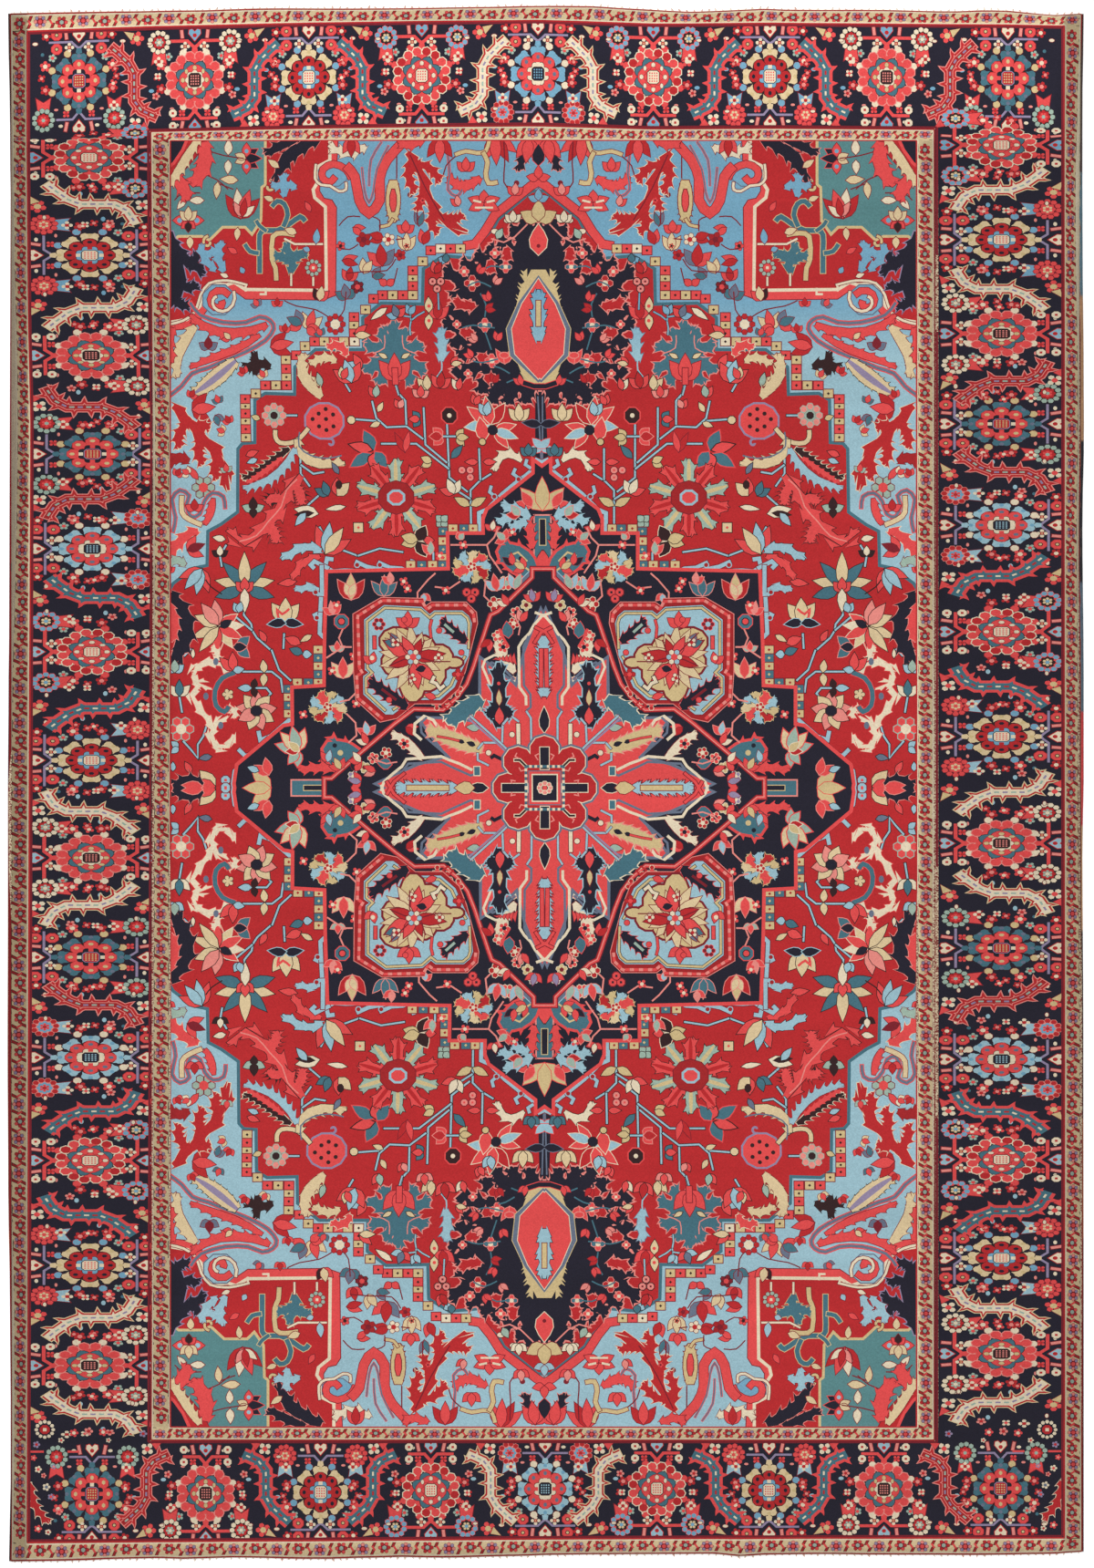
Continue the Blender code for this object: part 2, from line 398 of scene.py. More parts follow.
def frond_parts(path, half, reach, teeth, sides=(1, 1)):
    """A leaf along a path: a body that narrows to both ends, and curved teeth leaning to its tip."""
    shares = np.linspace(0, 1, 6)
    points, side = along_path(path, shares)
    width = half * np.sin(np.pi * (0.1 + 0.86 * shares))[:, None] ** 0.6
    parts = [np.concatenate((points + side * width, (points - side * width)[::-1]))]
    gap = np.hypot(*np.diff(path, axis=0).T).sum() / teeth
    for sign, amount in zip((1, -1), sides):
        shares = (np.arange(teeth) + 0.45 + 0.15 * sign) / teeth
        for share, foot, way in zip(shares, *along_path(path, shares)):
            ahead, out = np.array((way[1], -way[0])), way * sign
            grow = np.sin(np.pi * (0.15 + 0.7 * share)) ** 0.5
            if amount:
                parts.append(np.array([
                    foot + out * (half * 0.6 + amount * reach * high) * grow
                    + ahead * (gap * 0.5 * along + 0.7 * reach * grow * high ** 2)
                    for along, high in TOOTH]))
    return parts


def almond(x, y, turn, length, width, bend=0.0):
    """A petal from its foot: a pointed oval turned by degrees, bent to one side by the square of the way."""
    t = np.linspace(0, 1, 5)
    half = width / 2 * np.sin(np.pi * t ** 0.8)
    spine = bend * length * t ** 2
    outline = np.concatenate((np.stack((t * length, spine + half), 1),
                              np.stack((t * length, spine - half), 1)[-2:0:-1]))
    cos, sin = np.cos(np.radians(turn)), np.sin(np.radians(turn))
    return outline @ np.array(((cos, sin), (-sin, cos))) + (x, y)


def disc(x, y, across, along=None, sides=8, turn=0.0):
    """A round spot with flat sides."""
    angle = 2 * np.pi * (np.arange(sides) + 0.5) / sides + turn
    return np.stack((x + across * np.cos(angle), y + (along or across) * np.sin(angle)), 1)


class Drawing:
    """Outlines in knots, each with its dye, the later ones laid over the earlier ones."""

    def __init__(self):
        self.laid = []

    def outline(self, points, dye, edge=None, line=1.0):
        if edge:
            self.laid.append((grown(points, line), edge))
        self.laid.append((points, dye))

    def shape(self, dye, *numbers, edge=None, line=1.0):
        self.outline(ring(*numbers), dye, edge, line)

    def trail(self, dye, width, *numbers, edge=None, line=0.9):
        self.outline(strip(ring(*numbers), width), dye, edge, line)

    def dots(self, dye, size, *numbers, edge=None, line=1.0, heart=None, tall=1.0):
        for x, y in ring(*numbers):
            self.outline(disc(x, y, size, size * tall), dye, edge, line)
            if heart:
                self.outline(disc(x, y, size * 0.4, sides=4), heart)

    def tiles(self, dye, wide, tall, *numbers, edge=None, line=1.0, heart=None):
        for x, y in ring(*numbers):
            self.outline(ring(x - wide, y - tall, x + wide, y - tall, x + wide, y + tall, x - wide,
                              y + tall), dye, edge, line)
            if heart:
                self.outline(disc(x, y, 1.7, sides=4, turn=np.pi / 4), heart)

    def frond(self, dye, half, reach, teeth, *numbers, edge=None, line=0.8, sides=(1, 1), core=None):
        path = smooth(ring(*numbers))
        parts = frond_parts(path, half, reach, teeth, sides)
        if edge:
            self.laid += [(grown(part, line), edge) for part in parts]
        self.laid += [(part, dye) for part in parts]
        if core:
            self.outline(frond_parts(path, half * 0.4, 0, 1, (0, 0))[0], core)

    def fronds(self, dye, half, reach, teeth, *paths, edge, line=0.8, body=None):
        """Leaves that grow into each other, and a body they grow from, inside one common outline."""
        parts = [part for path in paths for part in frond_parts(smooth(ring(*path)), half, reach, teeth)]
        if body:
            parts.append(ring(*body))
        self.laid += [(grown(part, line), edge) for part in parts] + [(part, dye) for part in parts]

    def bend(self, dye, width, *numbers, edge=None, line=0.8):
        """A trail with its corners rounded."""
        self.outline(strip(smooth(ring(*numbers)), width), dye, edge, line)

    def petal(self, dye, *place, edge="soot", line=0.8):
        """One petal: its place is x, y, turn, length, width and bend."""
        self.outline(almond(*place), dye, edge, line)

    def petals(self, x, y, turn, spread, length, width, *dyes, edge="soot", line=0.8, bend=0.0):
        """A fan of petals from one foot, the outer ones laid first and a little shorter."""
        middle = (len(dyes) - 1) / 2
        for k in sorted(range(len(dyes)), key=lambda k: -abs(k - middle)):
            self.petal(dyes[k], x, y, turn + spread * (k - middle), length * (1 - 0.07 * abs(k - middle)),
                       width, bend * np.sign(k - middle), edge=edge, line=line)

    def curl(self, dye, width, x, y, size, turn, rounds, edge=None, line=0.8):
        """A scroll that winds in towards its middle."""
        share = np.linspace(0, 1, 11)
        angle = np.radians(turn) + 2 * np.pi * rounds * share
        reach = size * (1 - 0.75 * share)
        self.outline(strip(np.stack((x + reach * np.cos(angle), y + reach * np.sin(angle)), 1), width), dye,
                     edge, line)

    def bloom(self, x, y, size, petals, dye, heart="brick", edge=None, line=1.0, other=None, core=None,
              turn=0.0):
        """A round flower: petals on a ring, alternating in dye if there is another, and a heart."""
        angle = 2 * np.pi * np.arange(petals) / petals + turn
        wide = size * min(0.42, 1.9 / petals)
        spots = [disc(x + size * 0.66 * np.cos(a), y + size * 0.66 * np.sin(a), wide, sides=6, turn=a)
                 for a in angle]
        if edge:
            self.laid += [(grown(spot, line), edge) for spot in spots]
        self.laid += [(spot, other if other and k % 2 else dye) for k, spot in enumerate(spots)]
        self.outline(disc(x, y, size * 0.42), heart)
        if core:
            self.outline(disc(x, y, size * 0.2, sides=4), core)

    def place(self, other, x, y, turn=0.0, across=1.0, along=1.0):
        """Another drawing, stretched across and along, turned by degrees and set down at a point."""
        cos, sin = np.cos(np.radians(turn)), np.sin(np.radians(turn))
        matrix = np.array(((cos * across, -sin * along), (sin * across, cos * along)))
        self.laid += [(points @ matrix.T + (x, y), dye) for points, dye in other.laid]


quarter = Drawing()
# Corner: light blue zone behind a teal line, its row of little squares, and the red zone within it
quarter.shape("sky", -12, 652, 0, 652, 38, 620, 42, 612, 61, 592, 63, 578, 97, 581, 121, 566, 122, 528, 167,
              529, 189, 512, 189, 478, 242, 478, 267, 458, 268, 429, 300, 430, 313, 422, 314, 376, 327, 375,
              333, 368, 334, 299, 352, 286, 367, 278, 368, 241, 382, 238, 405, 221, 409, 214, 414, 214, 414,
              714, -12, 714, edge="teal", line=3.6)
quarter.trail("coral", 9, -12, 663, 0, 656, 20, 640, 40, 624, 51, 606, 62, 592, 74, 590, edge="maroon")
quarter.tiles("sand", 5, 4.4, 78, 587, 120, 573, 131, 554, 131, 536, 153.5, 536, 184, 520, 197, 503, 209,
              485, 231, 485, 253, 480, 275, 465, 275, 446, 287, 437, 310, 428, 322, 414, 322, 398, 322, 380,
              edge="maroon", heart="soot")
quarter.tiles("coral", 5, 4.4, 89, 587, 111, 585, 131, 563, 131, 546, 142, 536, 165, 536, 175, 532, 197, 512,
              197, 494, 220, 485, 242, 485, 263, 470, 275, 455, 275, 437, 299, 437, 322, 422, 322, 406, 322,
              389, edge="maroon", heart="soot")
quarter.tiles("ivory", 5, 4.4, 100, 587, 197, 485, edge="maroon", heart="soot")
quarter.shape("coral", 215, 714, 217, 672, 222, 668, 231, 670, 236, 662, 236, 650, 231, 642, 222, 640, 217,
              632, 218, 536, 232, 531, 320, 532, 333, 541, 342, 538, 352, 530, 362, 523, 380, 500, 414, 497,
              414, 714, edge="maroon", line=1.0)
quarter.shape("madder", 226, 714, 226, 685, 232, 682, 240, 678, 240, 660, 245, 652, 243, 642, 231, 632, 230,
              543, 320, 544, 333, 552, 342, 549, 352, 550, 361, 547, 372, 537, 374, 525, 388, 511, 414, 507,
              414, 714, edge="ivory", line=3.6)
# Scrolls at the red zone's corner and at its end
quarter.outline(disc(221, 668, 17, 13), "blue", "slate", 1.2)
quarter.bend("coral", 7, 200, 664, 206, 674, 220, 680, 232, 674, 232, 664, 224, 660, 218, 666, edge="maroon")
quarter.bend("ivory", 2.6, 240, 680, 241, 664, 234, 657, 224, 656, 214, 650, 206, 652, 206, 660,
             edge="maroon")
quarter.outline(disc(351, 531, 19, 17), "sky", "slate", 1.4)
quarter.curl("coral", 7, 351, 529, 14, 150, -0.95, edge="maroon")
quarter.curl("ivory", 3, 350, 531, 19, 150, 0.72, edge="maroon")
quarter.bend("ivory", 2.6, 318, 547, 334, 551, 346, 552, 362, 549, 372, 536, 378, 518, 392, 508, 408, 504,
             edge="maroon")
# Upper zone: coral flowers, a branching frond, a scalloped leaf, a looped stem and buds, all outlined maroon
quarter.frond("navy", 4, 6, 4, 4, 708, 8, 690, 14, 672, edge="pink")
quarter.petals(2, 708, -95, 26, 28, 12, "coral", "coral", "coral", "coral", edge="maroon")
quarter.petals(40, 712, -105, 24, 34, 12, "coral", "madder", "coral", "coral", edge="maroon")
quarter.bend("sand", 4, 46, 706, 50, 694, 60, 692, 72, 694, 84, 690, edge="maroon")
quarter.bend("sand", 4.6, 53, 693, 48, 682, 50, 670, 47, 659, 37, 660, edge="maroon")
quarter.petals(72, 672, 90, 44, 15, 9, "coral", "coral", "coral", edge="maroon")
quarter.frond("coral", 5, 5, 5, 56, 665, 68, 657, 80, 656, 92, 666, edge="maroon")
quarter.bend("slate", 1.8, 92, 690, 90, 668, 92, 652, 82, 644, 76, 652, edge="coral")
quarter.bend("maroon", 1.5, 30, 704, 29, 680, 30, 660, 22, 650)
quarter.bend("maroon", 1.5, 84, 688, 94, 678, 98, 664, 104, 658)
quarter.dots("maroon", 3.2, 16, 659, 134, 646)
quarter.petals(18, 646, 95, 44, 13, 8, "coral", "pink", "coral", edge="maroon")
for turn in (18, 90, 162, 205, 335):
    quarter.petal("coral", 52, 637, turn, 18 if turn != 90 else 14, 11, edge="maroon")
quarter.trail("ivory", 2.4, 40, 640, 49, 638)
quarter.trail("ivory", 2.4, 55, 638, 64, 640)
quarter.trail("ivory", 2.2, 42, 632, 62, 632)
quarter.petals(101, 708, -90, 34, 26, 11, "madder", "coral", "madder", edge="maroon")
quarter.fronds("madder", 4.2, 7, 4, (138, 692, 124, 674, 116, 650, 108, 630, 92, 614, 70, 606),
               (128, 680, 112, 676, 100, 660), (134, 684, 136, 666, 128, 648),
               (116, 654, 122, 640, 126, 628), (106, 628, 112, 616, 102, 604), (98, 622, 84, 620, 74, 624),
               edge="ivory")
quarter.bend("maroon", 1.4, 134, 690, 116, 652, 96, 618)
quarter.frond("sand", 8, 3, 7, 153, 662, 153, 616, edge="maroon", line=1.0)
quarter.outline(disc(153, 640, 3.6, 13), "coral", "maroon")
quarter.bend("sand", 3, 153, 620, 158, 613, 168, 611, edge="maroon")
quarter.bend("maroon", 1.5, 149, 700, 149, 664)
quarter.bend("coral", 10, 140, 706, 160, 684, 168, 664, 168, 640, 180, 626, 191, 640, 196, 666, 206, 678,
             edge="maroon")
quarter.bend("slate", 1.6, 158, 700, 171, 674, 175, 650, 180, 638, 185, 650, 188, 676, edge="coral",
             line=0.6)
quarter.bend("slate", 1.6, 166, 704, 178, 684, 180, 656, edge="coral", line=0.6)
quarter.frond("ivory", 4, 6, 4, 184, 700, 198, 692, 214, 694, 226, 700, edge="maroon")
quarter.petals(200, 708, -90, 30, 20, 9, "coral", "madder", "coral", edge="maroon")
quarter.frond("coral", 4, 5, 3, 120, 706, 136, 700, 148, 706, edge="maroon")
for x, y, turn, spread, size, wide, dyes in ((119, 592, 95, 32, 17, 9, ("coral", "madder")),
                                             (138, 585, 90, 32, 20, 9, ("straw", "straw", "straw")),
                                             (139, 605, 90, 52, 13, 9, ("coral", "coral", "coral")),
                                             (124, 612, 90, 36, 16, 6, ("slate", "teal")),
                                             (164, 599, 0, 30, 16, 9, ("madder", "madder")),
                                             (165, 568, 84, 42, 24, 12, ("coral", "madder", "slate")),
                                             (186, 560, 105, 38, 17, 9, ("straw", "straw")),
                                             (176, 556, 150, 40, 14, 8, ("slate", "teal")),
                                             (160, 547, 90, 110, 11, 8, ("coral", "coral")),
                                             (205, 532, 80, 50, 16, 10, ("teal", "slate", "teal")),
                                             (210, 574, 180, 30, 18, 8, ("coral", "madder")),
                                             (198, 610, 200, 40, 14, 7, ("coral", "coral")),
                                             (203, 552, 100, 40, 15, 8, ("coral", "madder", "coral")),
                                             (80, 634, 60, 40, 12, 7, ("coral", "pink"))):
    quarter.petals(x, y, turn, spread, size, wide, *dyes, edge="maroon")
for x, y, size, dye, heart, edge in (
        (158, 597, 7, "ivory", "madder", "maroon"), (186, 597, 8, "brick", "maroon", "maroon"),
        (145, 580, 6, "madder", "maroon", "maroon"), (193, 545, 7, "maroon", "coral", "soot"),
        (138, 590, 3, "madder", "soot", None), (218, 504, 13, "madder", "ivory", "maroon"),
        (120, 640, 3, "coral", "maroon", None), (212, 590, 5, "coral", "soot", "maroon")):
    quarter.bloom(x, y, size, 8 if size > 10 else 5, dye, heart, edge, 0.6)
for path in ((150, 597, 140, 598), (192, 592, 202, 586, 214, 588), (150, 576, 160, 563, 182, 562, 206, 560),
             (152, 550, 148, 566), (126, 614, 126, 628), (168, 606, 168, 618, 176, 622),
             (206, 540, 208, 520, 214, 512), (214, 612, 204, 622, 190, 622)):
    quarter.bend("maroon", 1.4, *path)
# Green corner inside the red zone
quarter.shape("sea", 299, 714, 299, 658, 303, 655, 304, 618, 313, 605, 320, 612, 347, 612, 362, 598, 370,
              602, 398, 602, 410, 592, 416, 592, 416, 714, edge="sand", line=3.0)
quarter.curl("sand", 2.8, 293, 655, 7, 90, 0.8, edge="maroon")
quarter.curl("sand", 2.8, 363, 594, 7, 90, -0.8, edge="maroon")
quarter.petals(324, 686, 180, 30, 22, 10, "navy", "navy", "navy", edge="coral")
quarter.petal("coral", 319, 688, 90, 15, 10, edge="maroon")
quarter.petal("coral", 319, 684, -90, 15, 10, edge="maroon")
quarter.dots("sky", 2.4, 319, 694, 319, 677)
quarter.petals(320, 686, 0, 44, 13, 8, "straw", "straw", edge="maroon")
for place in ((340, 690, 92, 17, 9), (340, 684, -88, 15, 8), (368, 640, 0, 17, 8), (389, 642, -50, 15, 7)):
    quarter.petal("ivory", *place, edge="maroon")
for place in ((329, 662, 4, 20, 9), (352, 660, -85, 18, 8)):
    quarter.petal("straw", *place, edge="maroon")
for path in ((322, 686, 344, 689, 362, 694), (340, 652, 352, 662, 366, 668), (350, 658, 334, 652),
             (372, 648, 392, 648, 402, 640)):
    quarter.bend("maroon", 1.4, *path)
quarter.shape("madder", 362, 714, 372, 694, 388, 676, 400, 664, 414, 652, 414, 714, edge="maroon")
quarter.frond("coral", 8, 8, 4, 368, 704, 366, 688, 370, 672, 382, 656, edge="maroon")
quarter.frond("coral", 7, 7, 3, 402, 668, 392, 654, 386, 640, edge="maroon")
quarter.frond("straw", 5, 6, 7, 374, 708, 386, 690, 396, 674, 410, 656, edge="maroon", sides=(0.4, 1.0))
quarter.shape("navy", 386, 714, 394, 696, 404, 682, 414, 674, 414, 714, edge="coral", line=3.4)
quarter.petals(326, 620, 96, 26, 34, 13, "madder", "ivory", "coral", "madder", edge="maroon")
quarter.petals(324, 622, 100, 40, 20, 8, "pink", "madder", "ivory", edge="maroon")
quarter.petal("coral", 386, 618, 0, 18, 12, edge="maroon")
quarter.petal("coral", 386, 618, 180, 18, 12, edge="maroon")
quarter.dots("sky", 3.0, 376, 618, 396, 618)
quarter.petals(386, 618, 90, 44, 15, 9, "straw", "straw", "straw", edge="maroon")
quarter.petals(386, 616, -90, 50, 11, 8, "coral", "soot", "coral", edge="maroon")
# Branch, leaves and stars of the red zone
quarter.frond("navy", 7, 9, 5, 238, 708, 258, 698, 276, 684, 286, 660, edge="pink", sides=(0.5, 1.0))
quarter.frond("navy", 5, 7, 4, 256, 710, 276, 702, 298, 690, edge="pink", sides=(1.0, 0.5))
quarter.fronds("navy", 5, 7, 4, (404, 596, 390, 576, 366, 560), (402, 578, 382, 572, 372, 584),
               (404, 556, 388, 544, 374, 548), (404, 536, 396, 526, 384, 524), edge="lilac", line=1.2,
               body=(404, 606, 398, 590, 392, 570, 388, 552, 394, 534, 406, 522, 414, 520, 414, 606))
quarter.bend("teal", 5.4, 304, 560, 304, 584, 304, 602, 298, 607, 284, 607, 270, 614, 258, 622, 252, 617,
             edge="sand")
quarter.bend("teal", 5.0, 277, 611, 272, 624, 276, 636, 284, 639, 290, 633, edge="sand")
quarter.bend("teal", 4.6, 305, 582, 315, 584, 321, 592, edge="sand")
quarter.bend("teal", 4.0, 296, 606, 304, 612, 308, 618, edge="sand")
quarter.bend("sand", 5, 285, 552, 286, 566, 290, 576, 289, 600, 278, 604, 264, 602, edge="maroon")
quarter.fronds("teal", 4.6, 6, 3, (268, 560, 267, 574, 276, 594), (266, 574, 256, 582, 249, 582),
               (270, 572, 278, 578, 288, 580), edge="sand")
quarter.bloom(243, 566, 11, 9, "sage", "coral", "maroon", 0.6, core="ivory")
for path in ((243, 546, 243, 556), (268, 546, 268, 560), (232, 592, 264, 592, 276, 598)):
    quarter.trail("ivory", 2.2, *path, edge="maroon", line=0.6)
quarter.fronds("sky", 4, 5, 3, (262, 655, 276, 657, 291, 655), (275, 644, 277, 656, 276, 670),
               (344, 562, 352, 578, 348, 596), (354, 564, 366, 574, 373, 592),
               (346, 580, 356, 584, 366, 580), edge="maroon")
for dye, *place in (("straw", 329, 610, -85, 14, 7), ("straw", 384, 600, -90, 13, 8),
                    ("straw", 282, 676, 35, 15, 7), ("straw", 288, 640, 20, 12, 6),
                    ("sky", 240, 592, 95, 17, 8), ("sky", 247, 585, 20, 8, 6), ("sky", 322, 560, 60, 8, 6),
                    ("coral", 246, 628, 60, 12, 6), ("straw", 262, 604, 20, 14, 8),
                    ("coral", 330, 582, 30, 12, 6), ("ivory", 340, 556, 20, 10, 5)):
    quarter.petal(dye, *place, edge="maroon")
quarter.trail("ivory", 2.4, 320, 546, 320, 540)
quarter.trail("ivory", 2.4, 297, 544, 297, 537, 304, 537)
# Zone at the sides: a bird flower, a long outlined leaf with a waved strip in it, and sand leaves
quarter.petals(248, 498, 104, 34, 22, 10, "straw", "coral", "straw", edge="maroon")
quarter.petals(256, 504, 24, 44, 18, 10, "coral", "teal", "slate", edge="maroon")
quarter.petals(250, 500, 200, 40, 14, 9, "coral", "coral", edge="maroon")
quarter.petals(292, 479, 168, 30, 26, 11, "madder", "coral", "madder", edge="maroon")
quarter.petals(236, 530, 100, 36, 16, 9, "soot", "straw", "coral", edge="maroon")
quarter.bend("maroon", 1.4, 226, 512, 240, 520, 262, 524, 276, 530)
quarter.bend("slate", 3.2, 384, 528, 372, 514, 345, 506, 320, 506, 304, 512, 292, 508, 288, 499, 298, 486,
             320, 474, 345, 464, 364, 456, 382, 450, 394, 436, 410, 424, edge="coral", line=1.2)
quarter.frond("coral", 5, 5, 8, 296, 504, 314, 497, 340, 494, 364, 500, 384, 514, edge="maroon",
              sides=(0.3, 1.0))
quarter.frond("coral", 4, 4, 7, 304, 492, 322, 481, 344, 472, 366, 464, 384, 456, edge="maroon",
              sides=(1.0, 0.3))
quarter.petals(363, 477, 90, 58, 13, 9, "slate", "maroon", "slate", edge="maroon")
quarter.petals(338, 488, 20, 50, 10, 6, "coral", "straw", edge="maroon")
quarter.frond("soot", 5, 7, 3, 292, 458, 308, 461, 324, 455)
quarter.frond("soot", 4, 5, 2, 310, 448, 308, 462, 314, 474)
quarter.frond("straw", 9, 5, 7, 332, 464, 350, 449, 366, 437, 380, 428, edge="soot", core="lilac")
quarter.frond("straw", 6, 7, 6, 378, 502, 390, 486, 400, 466, 398, 446, edge="maroon", sides=(1.0, 0.4))
quarter.frond("coral", 4, 5, 3, 404, 500, 408, 480, 404, 462, edge="maroon")
quarter.petals(382, 410, 172, 40, 26, 12, "madder", "coral", "madder", edge="maroon")
quarter.petals(356, 404, 230, 44, 12, 7, "slate", "teal", edge="maroon")
quarter.fronds("madder", 5, 8, 4, (404, 414, 386, 398, 370, 378, 350, 356, 342, 322),
               (388, 396, 398, 382, 396, 368), (372, 380, 376, 364, 370, 350),
               (352, 360, 358, 346, 354, 334), (380, 390, 372, 394, 362, 390), edge="ivory")
quarter.frond("brick", 5, 5, 3, 386, 354, 398, 358, 412, 350, edge="maroon")
quarter.bloom(370, 325, 13, 6, "sage", "coral", "maroon", 0.9)
quarter.petal("coral", 376, 334, 52, 18, 7, edge="maroon")
quarter.bend("slate", 3, 346, 302, 348, 315, 360, 319, 369, 310, 374, 296, 384, 293, 389, 306, 386, 316, 396,
             322, 405, 312, 401, 292, 404, 276, edge="coral", line=1.0)
quarter.frond("coral", 4, 4, 4, 359, 313, 362, 298, 368, 284, edge="maroon", sides=(1.0, 0.2))
quarter.bend("straw", 5, 394, 316, 394, 298, 386, 290, 372, 284, edge="maroon")
quarter.petals(380, 300, 90, 60, 12, 8, "coral", "madder", "coral", edge="maroon")
quarter.frond("coral", 5, 7, 4, 376, 278, 390, 272, 410, 250, edge="ivory")
quarter.petals(388, 256, 160, 40, 20, 9, "coral", "maroon", "coral", edge="maroon")
quarter.frond("sage", 4, 4, 3, 390, 240, 400, 246, 411, 240, edge="maroon")
for x, y, turn, dye in ((340, 396, 60, "coral"), (346, 386, 20, "straw"), (352, 418, 70, "teal"),
                        (400, 338, 120, "coral"), (344, 342, 80, "sage"), (386, 340, 30, "ivory"),
                        (408, 232, 90, "coral"), (322, 450, 50, "coral"), (384, 424, 120, "coral"),
                        (300, 446, 60, "straw"), (276, 496, 100, "coral"), (234, 492, 60, "teal"),
                        (306, 524, 60, "slate"), (284, 524, 90, "coral")):
    quarter.petals(x, y, turn, 50, 9, 6, dye, "coral" if dye != "coral" else "madder", dye, edge="maroon",
                   line=0.6)
# Pendant palmette above the medallion, on the rug's long axis

quarter.trail("navy", 7, -8, 350, -8, 430)
quarter.trail("slate", 1.6, -3.5, 352, -3.5, 425)
quarter.petal("navy", -6, 394, 6, 21, 9, edge="slate")
quarter.petals(-6, 368, 20, 50, 16, 9, "sky", "sky", edge="coral")
quarter.fronds("navy", 6.5, 9, 3, (0, 440, 8, 428, 12, 417), (18, 440, 26, 428, 32, 416),
               (34, 444, 42, 430, 50, 417), (44, 452, 54, 440, 60, 428),
               (48, 462, 66, 456, 82, 448, 90, 453), (54, 476, 70, 474, 82, 468),
               (60, 488, 78, 488, 90, 480), (62, 500, 80, 500, 98, 508), (68, 508, 82, 516, 92, 524),
               (56, 538, 76, 538, 88, 532), (58, 548, 78, 552, 97, 566), (56, 556, 66, 566, 78, 572),
               (46, 560, 52, 574, 62, 582), (32, 570, 40, 580, 48, 590), (20, 580, 28, 592, 36, 598),
               (10, 596, 16, 606, 24, 608), (2, 604, 6, 614, 12, 618), edge="pink", line=1.6,
               body=(-12, 432, 34, 430, 52, 444, 60, 458, 62, 474, 72, 490, 76, 506, 68, 514, 64, 526, 68,
                     540, 66, 556, 50, 568, 30, 576, 18, 590, 12, 604, -12, 616))
for path in ((62, 526, 72, 524, 86, 530), (60, 470, 54, 466, 48, 468), (78, 496, 70, 494, 64, 496),
             (54, 446, 48, 444, 42, 448), (46, 574, 44, 566, 46, 560), (28, 588, 26, 580, 28, 574)):
    quarter.frond("madder", 4, 5, 2, *path, edge="pink", line=1.2)
for x, y, size, dye in ((65, 549, 8, "madder"), (51, 503, 7, "teal"), (45, 464, 7, "coral"),
                        (28, 567, 6, "teal"), (74, 562, 5, "coral"), (40, 582, 5, "coral"),
                        (82, 504, 4, "coral"), (72, 450, 4, "coral")):
    quarter.bloom(x, y, size, 4, dye, "ivory", "pink", 0.8, other="coral" if dye == "teal" else None)
quarter.petals(31, 461, 90, 60, 18, 7, "coral", "coral", edge="pink")
quarter.dots("coral", 5, 31, 470, edge="pink", tall=0.6)
for path in ((40, 500, 64, 503, 76, 500), (38, 466, 56, 462, 66, 464), (44, 545, 58, 551, 70, 546),
             (30, 566, 44, 568, 56, 562), (45, 476, 48, 486, 51, 496), (56, 538, 50, 526, 51, 512),
             (26, 450, 36, 456, 44, 458), (10, 446, 20, 444, 30, 440)):
    quarter.bend("teal", 1.6, *path)
for x, y, turn, dye in ((46, 530, 60, "coral"), (50, 520, 160, "madder"), (38, 486, 100, "coral"),
                        (60, 486, 30, "pink"), (58, 560, 120, "coral"), (14, 438, 60, "coral"),
                        (40, 548, 120, "pink"), (66, 468, 40, "coral"), (44, 440, 100, "madder")):
    quarter.petals(x, y, turn, 44, 11, 6, dye, dye, edge="maroon", line=0.6)
quarter.frond("sand", 28, 10, 9, -8, 438, -8, 500, -8, 564, edge="navy")
quarter.petal("slate", -8, 440, 90, 118, 72, edge="sand")
quarter.petal("coral", -8, 444, 90, 110, 60, edge="ivory")
quarter.frond("sky", 6, 6, 3, -8, 486, -8, 512, -8, 542, edge="navy")
quarter.trail("sand", 5, -8, 530, -8, 502, edge="maroon")
quarter.trail("navy", 5, -12, 436, 0, 436, 12, 440, edge="coral")
# Top of the pendant
quarter.petal("coral", -8, 580, 90, 34, 20, edge="ivory")
quarter.petals(-8, 617, 90, 62, 24, 15, "sand", "sand", "sand", edge="maroon")
quarter.petals(-8, 640, 90, 70, 13, 8, "sky", "sky", "sky", edge="maroon")
quarter.petals(-8, 664, 90, 80, 14, 9, "coral", "coral", "coral", edge="maroon")
quarter.petal("navy", -8, 678, 90, 24, 14, edge="coral")
quarter.dots("maroon", 2.2, -8, 590)
quarter.trail("pink", 1.6, 4, 614, 18, 600, 30, 594, 44, 598)
quarter.dots("ivory", 4, 26, 618, 40, 606, edge="maroon", tall=0.7)

